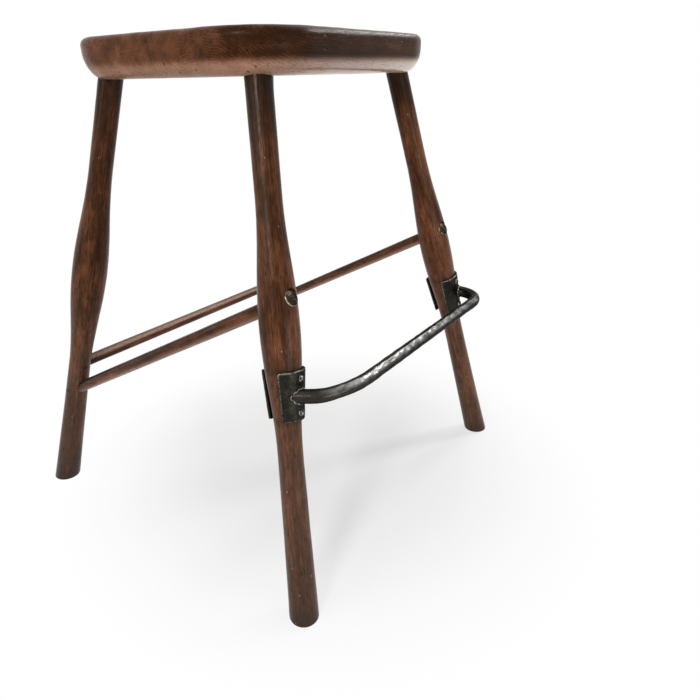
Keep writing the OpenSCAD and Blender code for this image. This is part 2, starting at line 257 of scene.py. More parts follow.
def joined(name: str, shells: Iterable[Mesh]) -> Mesh:
    """Puts closed shells into one mesh.

    Args:
        name: Name of the mesh.
        shells: Meshes to join. They are removed.

    Returns:
        The mesh.
    """
    work = bmesh.new()
    for shell in shells:
        work.from_mesh(shell)
        bpy.data.meshes.remove(shell)
    mesh = bpy.data.meshes.new(name)
    work.to_mesh(mesh)
    work.free()
    return mesh


def new_object(name: str, data: Optional[bpy.types.ID]) -> Object:
    """Links a new object with the given data into the scene.

    Args:
        name: Name of the object.
        data: Its mesh, curve, light or camera data.

    Returns:
        The new object, at the origin.
    """
    obj = bpy.data.objects.new(name, data)
    bpy.context.scene.collection.objects.link(obj)
    return obj


def smoothed(mesh: Mesh, sharp_deg: float) -> Mesh:
    """Shades a mesh smooth but for its sharp edges.

    Args:
        mesh: Mesh to shade.
        sharp_deg: Edges that turn by more than this stay sharp.

    Returns:
        The same mesh.
    """
    mesh.shade_smooth()
    mesh.set_sharp_from_angle(angle=math.radians(sharp_deg))
    return mesh


def coat(mesh: Mesh, finish: Material, sharp_deg: float) -> Mesh:
    """Gives a mesh its material and shading.

    Args:
        mesh: Mesh of a piece.
        finish: Its material.
        sharp_deg: Edges that turn by more than this stay sharp.

    Returns:
        The same mesh.
    """
    mesh.materials.clear()
    mesh.materials.append(finish)
    return smoothed(mesh, sharp_deg)


def baked(obj: Object, sharp_deg: float) -> Mesh:
    """Turns an object and its modifiers into a plain mesh.

    Args:
        obj: Mesh or curve object with live modifiers. It is removed.
        sharp_deg: Edges that turn by more than this stay sharp.

    Returns:
        The plain mesh.
    """
    bpy.context.view_layer.update()
    graph = bpy.context.evaluated_depsgraph_get()
    mesh = bpy.data.meshes.new_from_object(obj.evaluated_get(graph), depsgraph=graph)
    mesh.name = obj.name
    bpy.data.objects.remove(obj)
    return smoothed(mesh, sharp_deg)


def carved(mesh: Mesh, cutter: Mesh, sharp_deg: float) -> Mesh:
    """Cuts a closed shell out of a mesh.

    Args:
        mesh: Closed mesh to cut.
        cutter: Closed mesh of what is cut away.
        sharp_deg: Edges that turn by more than this stay sharp.

    Returns:
        The cut mesh.
    """
    body, tool = new_object(mesh.name, mesh), new_object(mesh.name + "_cutter", cutter)
    cut = body.modifiers.new("cut", "BOOLEAN")
    cut.operation, cut.solver, cut.object = "DIFFERENCE", "EXACT", tool
    result = baked(body, sharp_deg)
    bpy.data.objects.remove(tool)
    return result


def read_points(mesh: Mesh, kind: str = "co") -> np.ndarray:
    """Reads the points or the point normals of a mesh.

    Args:
        mesh: Mesh to read.
        kind: "co" for the points, in metres, or "normal" for the normals.

    Returns:
        Array of (points, 3).
    """
    flat = np.empty(len(mesh.vertices) * 3, np.float32)
    mesh.vertices.foreach_get(kind, flat)
    return flat.reshape(-1, 3).astype(float)


def write_points(mesh: Mesh, points: np.ndarray) -> None:
    """Puts an array of (points, 3) in millimetres back into the mesh."""
    mesh.vertices.foreach_set("co", (points * MM).astype(np.float32).ravel())
    mesh.update()


def store(mesh: Mesh, name: str, values: np.ndarray) -> None:
    """Stores one number or one vector for each point, for a material to read.

    Args:
        mesh: Mesh that gets the attribute.
        name: Attribute's name.
        values: Array of (points,) or (points, 3).
    """
    vector = values.ndim == 2
    attribute = mesh.attributes.new(name, "FLOAT_VECTOR" if vector else "FLOAT", "POINT")
    attribute.data.foreach_set("vector" if vector else "value", values.astype(np.float32).ravel())


def noise_at(points: np.ndarray, size: float, seed: float, octaves: int = 2) -> np.ndarray:
    """Samples smooth noise, about -1 to 1, at points in millimetres.

    Args:
        points: Array of (points, 3).
        size: Size of the noise's lumps, in millimetres.
        seed: Shift of the noise, so that pieces differ.
        octaves: Layers of detail.

    Returns:
        Array of (points,).
    """
    shift = Vector((seed * 7.13, seed * 3.71, seed * 5.39))
    return np.array([noise.fractal(Vector(p) / size + shift, 1.0, 2.0, octaves) for p in points])


@dataclass(frozen=True)
class Dents:
    """Small dents and nicks from years of use, with sizes in millimetres."""

    count: int
    smallest: float
    largest: float
    depth: float

    def press(self, points: np.ndarray, normals: np.ndarray, seed: int) -> np.ndarray:
        """Presses the dents into a surface at random places.

        Args:
            points: Array of (points, 3).
            normals: Outward normals of the points.
            seed: Seed of the random places.

        Returns:
            The moved points.
        """
        random = np.random.default_rng(seed)
        moved = points.copy()
        for index in random.integers(0, len(points), self.count):
            radius = random.uniform(self.smallest, self.largest)
            stretch = random.normal(size=3)
            stretch /= np.linalg.norm(stretch)
            gap = points - points[index]
            along = gap @ stretch
            distance = np.sqrt(np.maximum((gap**2).sum(1) - 0.75 * along**2, 0)) / radius
            fall = np.clip(1 - distance, 0, 1) ** 2 * (normals @ normals[index] > 0.3)
            moved -= normals * (fall * self.depth * random.uniform(0.35, 1.0))[:, None]
        return moved


def smoothstep(start: float, end: float, values: np.ndarray) -> np.ndarray:
    """Changes smoothly from 0 to 1.

    Args:
        start: Value up to which the result is 0.
        end: Value from which it is 1. It may lie below start.
        values: Values to look up.

    Returns:
        The result for each value.
    """
    t = np.clip((values - start) / (end - start), 0, 1)
    return t * t * (3 - 2 * t)


def placed(matrix: Matrix, points: np.ndarray) -> np.ndarray:
    """Moves an array of points by a matrix.

    Args:
        matrix: Frame that the points are in.
        points: Array of (..., 3).

    Returns:
        The points in the part's frame.
    """
    m = np.array(matrix)
    return points @ m[:3, :3].T + m[:3, 3]


class GeometryRecipe:
    """A Geometry Nodes tree with named inputs, run once on an object."""

    def __init__(self, name: str, sizes: Mapping[str, Any]) -> None:
        """Starts the tree.

        Args:
            name: Name of the tree.
            sizes: Name of each input to its value: a number, a whole number or a material.
        """
        self.tree = bpy.data.node_groups.new(name, "GeometryNodeTree")
        self.tree.interface.new_socket("Geometry", in_out="INPUT", socket_type="NodeSocketGeometry")
        self.values: dict[str, Any] = {}
        for label, value in sizes.items():
            kind = {int: "NodeSocketInt", float: "NodeSocketFloat"}.get(type(value), "NodeSocketMaterial")
            socket = self.tree.interface.new_socket(label, in_out="INPUT", socket_type=kind)
            self.values[socket.identifier] = value
        self.tree.interface.new_socket("Geometry", in_out="OUTPUT", socket_type="NodeSocketGeometry")
        self.start = add_node(self.tree, "NodeGroupInput")

    def add(self, kind: str, inputs: Optional[Mapping[Any, Any]] = None, **settings: Any) -> Node:
        """Adds a node to the tree, as add_node does."""
        return add_node(self.tree, kind, inputs, **settings)

    def size(self, label: str) -> NodeSocket:
        """Returns the output that gives a named input's value."""
        return self.start.outputs[label]

    def filled(self, **instances: Any) -> Node:
        """Puts an instance on each point and makes them real.

        Args:
            **instances: Inputs of Instance on Points.

        Returns:
            The node that gives the real meshes.
        """
        copies = self.add("GeometryNodeInstanceOnPoints", instances)
        return self.add("GeometryNodeRealizeInstances", {"Geometry": copies})

    def aim(self) -> Node:
        """Adds the nodes that turn z along the axis stored on each point."""
        axis = self.add("GeometryNodeInputNamedAttribute", {"Name": "axis"}, data_type="FLOAT_VECTOR")
        return self.add("FunctionNodeAlignRotationToVector", {"Vector": axis}, axis="Z")

    def beaten(self, surface: Node, depth: Node, wear: Node) -> Node:
        """Presses a surface inwards and stores how worn it is, which on the bar also holds a painted
        highlight.

        Args:
            surface: Node that gives the surface.
            depth: Node that gives the depth at each point, in metres.
            wear: Node that gives the wear at each point, from 0 to 1; on the bar it also holds a painted
                highlight.

        Returns:
            The node that gives the pressed surface.
        """
        inward = self.add("ShaderNodeMath", {0: depth, 1: -1.0}, operation="MULTIPLY")
        normal = self.add("GeometryNodeInputNormal")
        offset = self.add("ShaderNodeVectorMath", {0: normal, "Scale": inward}, operation="SCALE")
        pressed = self.add("GeometryNodeSetPosition", {"Geometry": surface, "Offset": offset})
        return self.add(
            "GeometryNodeStoreNamedAttribute", {"Geometry": pressed, "Name": "wear", "Value": wear},
            data_type="FLOAT", domain="POINT",
        )

    def run(self, made: Node, obj: Object, sharp_deg: float = 35.0) -> Mesh:
        """Ends the tree with Realize Instances and Set Material, and runs it on an object.

        Args:
            made: Node that gives what the tree has made.
            obj: Object that the tree starts from. It is removed.
            sharp_deg: Edges that turn by more than this stay sharp.

        Returns:
            The result as a plain mesh.
        """
        real = self.add("GeometryNodeRealizeInstances", {"Geometry": made})
        smooth = self.add("GeometryNodeSetShadeSmooth", {0: real})
        coated = self.add("GeometryNodeSetMaterial", {"Geometry": smooth, "Material": self.size("Finish")})
        self.add("NodeGroupOutput", {"Geometry": coated})
        modifier = obj.modifiers.new(self.tree.name, "NODES")
        modifier.node_group = self.tree
        for identifier, value in self.values.items():
            modifier[identifier] = value
        return baked(obj, sharp_deg)


# ---------------------------------------------------------------- finishes


@dataclass(frozen=True)
class StainedWood:
    """Open-grained hardwood, stained dark walnut, rubbed back and lacquered satin.

    The stain sits darkest in the pores and in the late wood of each ring, so the eye sees fine dark
    flecks and soft streaks over a warm red-brown. The lacquer adds a pale sheen at a glancing angle,
    and small knocks show as dark nicks or as bright chips; the bright chips also stand in for glints
    in the dents, as painted highlights. A pale tint from each piece's marks greys the lower legs and
    is painted light on the seat's lower edge and along the stretchers.

    Knocks: knock_cells gives their cells for each millimetre across and along the fibre. The nick
    field, and the field after it for the bright chips and their painted glints, give the size of the
    core and of the edge, in cells, and the share of cells left whole.
    """

    name: str
    deep: str = "#170b05"
    dark: str = "#3d210f"
    middle: str = "#74472e"
    light: str = "#ae8065"
    # Pale tint that the marks mix in: a greying on the lower legs, and painted light on the seat's lower
    # edge and along the stretchers
    dust: str = "#a88c7d"
    # Colour of the chips, which also paints glints in the dents as painted highlights
    chip_and_glint: str = "#cdbba6"
    ring_mm: float = 3.6
    heart_mm: tuple[float, float] = (-34.0, 22.0)
    balance: float = -0.03
    rings: float = 0.14
    clouds: float = 0.90
    streaks: float = 0.42
    blotches: float = 0.46
    fibres: float = 0.60
    gloss: float = 0.14
    sheen: float = 0.10
    knock_cells: tuple[float, float] = (0.13, 0.055)
    nick: tuple[float, float, float] = (0.075, 0.12, 0.45)
    chipped_and_glints: tuple[float, float, float] = (0.030, 0.080, 0.66)

    def material(self) -> Material:
        """Builds the material from its piece's grain, tone, pale tint (painted light on some pieces) and
        polish.
        """
        material, add = blank_material(self.name)
        grain = add("ShaderNodeAttribute", attribute_name="grain").outputs["Vector"]
        tone, dust, polish = (
            add("ShaderNodeAttribute", attribute_name=label).outputs["Fac"] for label in WOOD_MARKS
        )
        # Lumps for each millimetre across and along the fibre, layers of detail and their strength
        layers = {}
        for label, across, along, detail, strength in (
            ("wander", 0.020, 0.0040, 2.0, 0.5),
            ("cloud", 0.050, 0.0100, 3.0, 0.6),
            ("streak", 0.200, 0.0060, 4.0, 0.6),
            ("blotch", 0.160, 0.0600, 3.0, 0.6),
            ("fibre", 0.700, 0.0140, 4.0, 0.7),
            # Pores are drawn 1 mm wide, coarser than life, so that they show
            ("pore", 0.800, 0.1000, 2.0, 0.5),
            ("hand", 0.060, 0.0200, 2.0, 0.5),
        ):
            size = (across, across, along)
            spread = add("ShaderNodeVectorMath", {0: grain, 1: size}, operation="MULTIPLY")
            layers[label] = add("ShaderNodeTexNoise", {
                "Vector": spread, "Scale": 1.0, "Detail": detail, "Roughness": strength,
            })
        # Growth rings about a heart that lies outside the piece, bent by a slow wander of the grain
        bent = add(
            "ShaderNodeVectorMath",
            {0: layers["wander"].outputs["Color"], 1: (30.0, 30.0, 0.0), 2: grain},
            operation="MULTIPLY_ADD",
        )
        flat = add("ShaderNodeVectorMath", {0: bent, 1: (1.0, 1.0, 0.0)}, operation="MULTIPLY")
        heart = add("ShaderNodeVectorMath", {0: flat, 1: (*self.heart_mm, 0.0)}, operation="DISTANCE")
        turns = add("ShaderNodeMath", {0: heart.outputs["Value"], 1: self.ring_mm}, operation="DIVIDE")
        late = add("ShaderNodeValToRGB", {"Fac": add("ShaderNodeMath", {0: turns}, operation="FRACT")})
        ramp_stops(late, [
            (0.0, "#6a6a6a"), (0.22, "#d0d0d0"), (0.66, "#a8a8a8"), (0.93, "#383838"), (1.0, "#6a6a6a"),
        ])
        pores = add("ShaderNodeMapRange", {"Value": layers["pore"], "From Min": 0.58, "From Max": 0.68})
        # Sparse knocks, some filled with stain and some chipped pale; the pale ones also stand in for glints
        # in the dents, as painted highlights
        across, along = self.knock_cells
        spread = add("ShaderNodeVectorMath", {0: grain, 1: (across, across, along)}, operation="MULTIPLY")
        cells = add("ShaderNodeTexVoronoi", {"Vector": spread, "Scale": 1.0})
        lots = add("ShaderNodeSeparateColor", {0: cells.outputs["Color"]}).outputs
        knocks = []
        for lot, (core, edge, whole) in zip(lots, (self.nick, self.chipped_and_glints)):
            spot = add("ShaderNodeMapRange", {"Value": cells, "From Min": edge, "From Max": core})
            chosen = add("ShaderNodeMath", {0: lot, 1: whole}, operation="GREATER_THAN")
            knocks.append(add("ShaderNodeMath", {0: spot, 1: chosen}, operation="MULTIPLY"))
        nicks, chips_and_glints = knocks

        # How each layer moves the stain between deep and light, and the layer's own middle
        moves = (
            (late.outputs["Color"], self.rings, 0.375),
            (layers["cloud"], self.clouds, 0.5),
            (layers["streak"], self.streaks, 0.5),
            (layers["blotch"], self.blotches, 0.5),
            (layers["fibre"], self.fibres, 0.5),
        )
        level = 0.36 + self.balance - sum(amount * middle for _, amount, middle in moves)
        shade: Any = add("ShaderNodeMath", {0: tone, 1: level}, operation="ADD")
        for source, amount, _ in moves:
            shade = add("ShaderNodeMath", {0: source, 1: amount, 2: shade}, operation="MULTIPLY_ADD")
        stain = add("ShaderNodeValToRGB", {"Fac": shade})
        ramp_stops(stain, [(0.0, self.deep), (0.28, self.dark), (0.58, self.middle), (1.0, self.light)])
        colour = stain.outputs["Color"]
        # The first tint is the pale one: painted light on the seat and the stretchers, a greying on the
        # lower legs
        for factor, amount, tint in (
            (dust, 1.0, self.dust), (pores, 0.55, self.deep),
            (nicks, 0.8, self.deep), (chips_and_glints, 0.75, self.chip_and_glint),
        ):
            share = add("ShaderNodeMath", {0: factor, 1: amount}, operation="MULTIPLY", use_clamp=True)
            mixed = add("ShaderNodeMix", {0: share, 6: colour, 7: linear(tint)}, data_type="RGBA")
            colour = mixed.outputs[2]

        # Heights in metres
        relief: Any = 0.0
        for source, height in (
            (layers["fibre"], 0.00010), (layers["hand"], 0.00080), (pores, -0.00011), (nicks, -0.00060)
        ):
            relief = add("ShaderNodeMath", {0: source, 1: height, 2: relief}, operation="MULTIPLY_ADD")
        bump = add("ShaderNodeBump", {"Strength": 1.0, "Distance": 1.0, "Height": relief})
        rough = add("ShaderNodeMapRange", {"Value": layers["cloud"], "To Min": 0.34, "To Max": 0.22})
        shader = add("ShaderNodeBsdfPrincipled", {
            "Base Color": colour,
            "Roughness": rough,
            "IOR": 1.5,
            "Specular IOR Level": self.gloss,
            "Specular Tint": linear("#f6e0cc"),
            "Sheen Weight": self.sheen,
            "Sheen Roughness": 0.35,
            "Sheen Tint": linear("#e8ccbc"),
            "Coat Weight": polish,
            "Coat Roughness": 0.20,
            "Coat IOR": 2.3,
            "Normal": bump,
        })
        add("ShaderNodeOutputMaterial", {"Surface": shader})
        return material


@dataclass(frozen=True)
class BlackenedIron:
    """Mild steel, forged by hand, left with its fire scale and waxed.

    Scale is nearly black with a green-brown cast and a soft shine. Shoes and hands have rubbed the
    high spots and the edges back to grey metal, which carries hard highlights. On the bar the grey
    is also laid where the key light reflects, as a painted highlight.
    """

    name: str
    scale_black: str = "#201f1c"
    scale_brown: str = "#322f28"
    rubbed: str = "#8e8b84"
    roughness: float = 0.34
    spread: float = 0.10
    relief_m: float = 0.00018
    metallic: float = 0.8
    broken: tuple[float, float] = (0.34, 0.58)

    def material(self) -> Material:
        """Builds the material, which reads the wear of its piece; on the bar that wear holds a painted
        highlight too.
        """
        material, add = blank_material(self.name)
        place = add("ShaderNodeTexCoord").outputs["Object"]
        wear = add("ShaderNodeAttribute", attribute_name="wear").outputs["Fac"]
        patches, mottle, grit = (
            add("ShaderNodeTexNoise",
                {"Vector": place, "Scale": 1.0 / (size * MM), "Detail": detail, "Roughness": 0.6})
            for size, detail in ((16.0, 3.0), (3.2, 4.0), (0.8, 2.0))
        )
        both = add("ShaderNodeMath", {0: patches, 1: mottle}, operation="ADD")
        browned = add("ShaderNodeMapRange", {"Value": both, "From Min": 0.80, "From Max": 1.25})
        scale = add(
            "ShaderNodeMix", {0: browned, 6: linear(self.scale_black), 7: linear(self.scale_brown)},
            data_type="RGBA",
        )
        whole, torn = self.broken
        broken = add("ShaderNodeMapRange", {"Value": mottle, "From Min": whole, "From Max": torn})
        bare = add("ShaderNodeMath", {0: wear, 1: broken}, operation="MULTIPLY", use_clamp=True)
        colour = add(
            "ShaderNodeMix", {0: bare, 6: scale.outputs[2], 7: linear(self.rubbed)}, data_type="RGBA"
        )
        rough = add("ShaderNodeMapRange", {
            "Value": mottle, "From Min": 0.3, "From Max": 0.7,
            "To Min": self.roughness - self.spread, "To Max": self.roughness + self.spread,
        })
        relief = add("ShaderNodeMath", {0: grit, 1: self.relief_m / 4}, operation="MULTIPLY")
        relief = add("ShaderNodeMath", {0: mottle, 1: self.relief_m, 2: relief}, operation="MULTIPLY_ADD")
        shader = add("ShaderNodeBsdfPrincipled", {
            "Base Color": colour.outputs[2],
            "Metallic": self.metallic,
            "Roughness": rough,
            "Specular Tint": linear("#6e6e6e"),
            "Normal": add("ShaderNodeBump", {"Strength": 1.0, "Distance": 1.0, "Height": relief}),
        })
        add("ShaderNodeOutputMaterial", {"Surface": shader})
        return material


@dataclass(frozen=True)
class Finishes:
    """The stool's finishes, each built once."""

    leg_wood: Material
    seat_wood: Material
    end_wood: Material
    plate_iron: Material
    bar_iron: Material
    brushed_iron: Material
    screw: Material

    @classmethod
    def build(cls) -> "Finishes":
        """Builds every material."""
        return cls(
            # Warm red-brown with dark streaks and flecks, for the round pieces
            leg_wood=StainedWood("walnut_stained_turned_wood").material(),
            # The same stain on a quieter, finer grain, with a near-white painted reflection of the floor
            # along the lower edge
            seat_wood=StainedWood(
                "walnut_stained_seat_wood", ring_mm=3.0, heart_mm=(-20.0, -46.0), rings=0.18, clouds=0.70,
                streaks=0.26, blotches=0.08, fibres=0.18, gloss=0.08, sheen=0.03, dust="#f2d4be",
                knock_cells=(0.11, 0.028), nick=(0.09, 0.14, 0.35), chipped_and_glints=(0.02, 0.03, 0.95),
            ).material(),
            # Darker ends of wedges and pegs, which drink more stain
            end_wood=StainedWood("walnut_stained_end_grain", ring_mm=1.8, balance=-0.1).material(),
            # Soft black plates with grey worn edges
            plate_iron=BlackenedIron("blackened_forged_plate").material(),
            # Smoother, with a long bright stripe where feet rest, laid where the key light reflects as a
            # painted highlight
            bar_iron=BlackenedIron(
                "burnished_forged_bar", scale_black="#2f2c27", scale_brown="#3c3831", rubbed="#727170",
                roughness=0.27, spread=0.02, relief_m=0.00001, broken=(-0.6, 0.5),
            ).material(),
            # Hard sparkles on the welds, bolt heads and nuts
            brushed_iron=BlackenedIron(
                "wire_brushed_iron", rubbed="#92928e", roughness=0.20, spread=0.06, broken=(0.20, 0.45)
            ).material(),
            # Brown-black heads with a bright rim
            screw=BlackenedIron(
                "darkened_screw_steel", scale_black="#2a211a", scale_brown="#3f3226", rubbed="#a59c90",
                roughness=0.3,
            ).material(),
        )


# ---------------------------------------------------------------- the stool's plan


@dataclass(frozen=True)
class StoolPlan:
    """Where the stool's pieces stand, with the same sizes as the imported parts."""

    seat_w: float = 400.0
    seat_d: float = 368.0
    seat_t: float = 50.0
    seat_h: float = 644.0
    seat_pitch: float = 1.5
    inset_side: float = 45.5
    inset_front: float = 50.0
    splay_side: float = 121.5
    splay_front: float = 135.0
    foot_dia: float = 40.0
    slim_dia: float = 32.5
    swell_dia: float = 50.5
    swell_at: float = 386.0
    swell_len: float = 316.0
    foot_taper: float = 250.0
    tenon_dia: float = 25.0
    plate_fit: float = 0.2
    plate_t: float = 4.0
    plate_len: float = 64.0
    bar_h: float = 296.0
    bar_on_plate: float = 4.0
    bolt_offset: float = 21.5

    @property
    def leg_len(self) -> float:
        """Length of a leg from the floor to the seat, along its middle."""
        return math.sqrt(self.splay_side**2 + self.splay_front**2 + self.seat_h**2)

    @property
    def plate_at(self) -> float:
        """Distance up the leg to the middle of the iron plates."""
        return self.up_leg(self.bar_h - self.bar_on_plate)

    def up_leg(self, height: float) -> float:
        """Returns the distance up a leg to a height above the floor."""
        return height * self.leg_len / self.seat_h

    def leg_point(self, side: Side, row: Row, height: float) -> Vector:
        """Finds the point on a leg's middle at a height.

        Args:
            side: Side of the leg.
            row: Row of the leg.
            height: Height above the floor.

        Returns:
            The point, in millimetres.
        """
        share = height / self.seat_h - 1
        return Vector((
            side.value * (self.seat_w / 2 - self.inset_side - self.splay_side * share),
            row.value * (self.seat_d / 2 - self.inset_front - self.splay_front * share),
            height,
        ))

    def leg_matrix(self, side: Side, row: Row) -> Matrix:
        """Finds a leg's own frame.

        Args:
            side: Side of the leg.
            row: Row of the leg.

        Returns:
            Frame with z up the leg's middle from the floor and -y to the front.
        """
        tip = math.asin(row.value * self.splay_front / self.leg_len)
        lean = -math.atan(side.value * self.splay_side / self.seat_h)
        turn = Matrix.Rotation(lean, 4, "Y") @ Matrix.Rotation(tip, 4, "X")
        return Matrix.Translation(self.leg_point(side, row, 0)) @ turn

    def seat_matrix(self) -> Matrix:
        """Returns the seat's own frame: z = 0 on its underside."""
        pitch = Matrix.Rotation(-math.radians(self.seat_pitch), 4, "X")
        return Matrix.Translation((0, 0, self.seat_h)) @ pitch

    def leg_radius(self, t: Any) -> Any:
        """Finds the radius of a turned leg.

        Args:
            t: Distance up the leg, or an array of them.

        Returns:
            The radius at each.
        """
        t = np.asarray(t, float)
        phase = np.clip((t - self.swell_at) / self.swell_len, -0.5, 0.5)
        swell = (self.swell_dia - self.slim_dia) * np.cos(math.pi * phase) ** 2
        foot = (self.foot_dia - self.slim_dia) * np.clip(1 - t / self.foot_taper, 0, None) ** 1.5
        return (self.slim_dia + foot + swell) / 2

    def plate_radius(self, t: float) -> float:
        """Returns the radius of a saddle plate's outer face at a distance up its leg."""
        return float(self.leg_radius(t)) + self.plate_fit + self.plate_t

    def seat_top(
        self, side: Side, row: Row, across: np.ndarray, proud: float = 0.0
    ) -> tuple[float, np.ndarray]:
        """Finds where a leaning leg meets the plane of the seat's top.

        Args:
            side: Side of the leg.
            row: Row of the leg.
            across: Points whose first two numbers are the place across the leg.
            proud: Height of the plane over the seat's top.

        Returns:
            Distance up the leg's middle, and how much farther it is at each point.
        """
        rise = np.array(self.seat_matrix().inverted() @ self.leg_matrix(side, row))[2]
        slant = -(rise[0] * across[..., 0] + rise[1] * across[..., 1]) / rise[2]
        return (self.seat_t + proud - rise[3]) / rise[2], slant


def hand_over(name: str, mesh: Mesh, slot: Slot, *nodes: str) -> None:
    """Makes a finished mesh an object, hangs it under the stool's body and hides the CAD nodes it stands
    for.

    Args:
        name: Name of the piece.
        mesh: Its finished mesh.
        slot: Record's slot of its finish. It is not used.
        *nodes: CAD nodes that it stands for.
    """
    obj = new_object(name, mesh)
    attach(obj, BODY)
    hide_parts(*nodes)
    points, boxes = read_points(mesh), np.array([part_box(n) for n in nodes])
    off = max(
        np.abs(points.min(0) - boxes[:, 0].min(0)).max(), np.abs(points.max(0) - boxes[:, 1].max(0)).max()
    )
    LOG.info("%s: %d faces, box within %.1f mm of %s", name, len(mesh.polygons), off / MM, ", ".join(nodes))


# ---------------------------------------------------------------- wooden pieces


def one_tone(tone: float) -> Marks:
    """Returns marks that give a whole piece one tone."""
    return lambda points: {"tone": np.full(len(points), tone)}


def grain_stamp(mesh: Mesh, matrix: Matrix, shift: tuple[float, float, float], marks: Marks) -> None:
    """Stores the grain's coordinates and the stain's marks on a wooden piece.

    Args:
        mesh: Mesh of the piece.
        matrix: The board's own frame in millimetres, with z along its fibres.
        shift: Place of the piece in its tree, so that no two pieces match.
        marks: Takes points in the board's frame and gives the tone (below 0 is darker), the pale
            tint and the polish, by name; tone and tint carry painted light and shade on some pieces.
            One that is left out is 0.
    """
    local = placed(matrix.inverted(), read_points(mesh) / MM)
    found = marks(local)
    for label in WOOD_MARKS:
        store(mesh, label, found.get(label, np.zeros(len(local))))
    store(mesh, "grain", local + np.array(shift))


@dataclass
class TurnedLeg:
    """A turned leg with its tenon, level at the floor and let into the seat."""

    plan: StoolPlan
    side: Side
    row: Row
    recess: Callable[[Side], Mesh]
    around: int = 96
    step: float = 3.2
    edge: float = 2.4
    into_seat: float = 3.0
    dents: Dents = Dents(46, 2.5, 7.0, 0.42)

    @property
    def number(self) -> int:
        """A different whole number for each leg."""
        return 1 + (self.side is Side.RIGHT) + 2 * (self.row is Row.BACK)

    def _ends(self, angle: np.ndarray) -> tuple[np.ndarray, np.ndarray]:
        """Finds where the leg's surface meets the floor and the seat at each angle.

        Args:
            angle: Angles round the leg.

        Returns:
            Distances up the leg to the floor and to just inside the seat.
        """
        leg, length = self.plan.leg_matrix(self.side, self.row), self.plan.leg_len
        found = []
        # Frame to measure in, height of the surface there, and the stretch of leg to search
        for matrix, level, low, high in (
            (leg, 0.0, -30.0, 30.0),
            (self.plan.seat_matrix().inverted() @ leg, self.into_seat, length - 40, length + 40),
        ):
            a, b = np.full_like(angle, low), np.full_like(angle, high)
            for _ in range(HALVINGS):
                mid = (a + b) / 2
                under = placed(matrix, polar(self.plan.leg_radius(mid), angle, mid))[:, 2] < level
                a, b = np.where(under, mid, a), np.where(under, b, mid)
            found.append((a + b) / 2)
        return found[0], found[1]

    def build(self, finish: Material) -> None:
        """Builds the leg and its tenon as one piece.

        Args:
            finish: The wood's material.
        """
        plan, matrix = self.plan, self.plan.leg_matrix(self.side, self.row)
        label = f"leg_{self.row}_{self.side}"
        angle = np.linspace(0, FULL_TURN, self.around, endpoint=False)
        low, high = self._ends(angle)
        mean = float((high - low).mean())
        # Rings stand closer together at the rounded edge
        near_floor = [0.0, 0.25, 0.6, 1.0, 1.5, 2.1, 2.8, 3.8, 5.2, 7.2]
        count = int((mean - near_floor[-1]) / self.step)
        climb = np.concatenate([near_floor, np.linspace(near_floor[-1], mean, count + 1)[1:]])
        t = low + np.outer(climb, (high - low) / mean)
        radius = plan.leg_radius(t)
        local = polar(radius, angle, t)
        # A hand's unevenness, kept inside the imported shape
        uneven = noise_at(local.reshape(-1, 3) * np.array([1, 1, 0.35]), 24.0, self.number).reshape(t.shape)
        local[..., :2] *= (1 - np.clip(0.14 + 0.22 * uneven, 0, 0.5) / radius)[..., None]
        rings = placed(matrix, local)
        # The edge at the floor is rounded
        gap = np.clip(self.edge - rings[..., 2], 0, None)
        inset = self.edge - np.sqrt(np.maximum(self.edge**2 - gap**2, 0))
        to_middle = rings[..., :2] - np.array(plan.leg_point(self.side, self.row, 0))[:2]
        rings[..., :2] -= to_middle / np.linalg.norm(to_middle, axis=-1)[..., None] * inset[..., None]
        mesh = ring_mesh(f"turned_{label}", rings)
        points = self.dents.press(read_points(mesh) / MM, read_points(mesh, "normal"), 40 + self.number)
        points[:, 2] = np.maximum(points[:, 2], 0)
        write_points(mesh, points)
        if self.row is Row.FRONT:
            mesh = carved(mesh, self.recess(self.side), 35.0)
        mesh = coat(joined(f"turned_{label}", (mesh, self._tenon())), finish, 35.0)
        shift = (11.0 * self.number, -7.0 * self.number, 310.0 * self.number)
        grain_stamp(mesh, matrix, shift, self._marks)
        hand_over(f"turned_{label}", mesh, Slot.WOOD, label)

    def _tenon(self) -> Mesh:
        """Builds the tenon's closed shell, flush with the top of the seat.

        Returns:
            The shell.
        """
        plan = self.plan
        shrinks, drops = (0, 0, 0, 0, 0.35, 2.5, 5.5, 8.5), np.array([1.6, 0.5, 0, 0, 0, 0])
        rings = turned([(plan.tenon_dia / 2 - shrink, 0) for shrink in shrinks], TENON_SIDES)
        # The upper rings lie in the seat's plane, which the leaning tenon meets at a slant
        top, slant = plan.seat_top(self.side, self.row, rings)
        rings[:2, :, 2] = [[plan.leg_len - 8], [plan.leg_len + 8]]
        rings[2:, :, 2] = (top - drops)[:, None] + slant[2:]
        return ring_mesh("tenon", placed(plan.leg_matrix(self.side, self.row), rings))

    def _marks(self, local: np.ndarray) -> dict[str, np.ndarray]:
        """Darkens the foot and the wood beside the iron, paints shade on the neck, and greys the lower leg.

        Args:
            local: Points in the leg's own frame.

        Returns:
            Tone and pale tint of each point.
        """
        t, plan = local[:, 2], self.plan
        paler = 0.06 * (self.row is Row.FRONT and self.side is Side.RIGHT)
        tone = paler + 0.02 * smoothstep(250, 400, t)
        tone -= 0.27 * (1 - smoothstep(0, 30, t)) + 0.18 * (1 - smoothstep(20, 130, t))
        # Painted shade on the neck, under the seat
        tone -= 0.30 * smoothstep(plan.leg_len - 90, plan.leg_len - 4, t)
        if self.row is Row.FRONT:
            beside = np.abs(np.abs(t - plan.plate_at) - plan.plate_len / 2)
            tone -= 0.12 * (1 - smoothstep(0, 9, beside))
        return {"tone": tone, "dust": 0.11 * (1 - smoothstep(180, 420, t))}


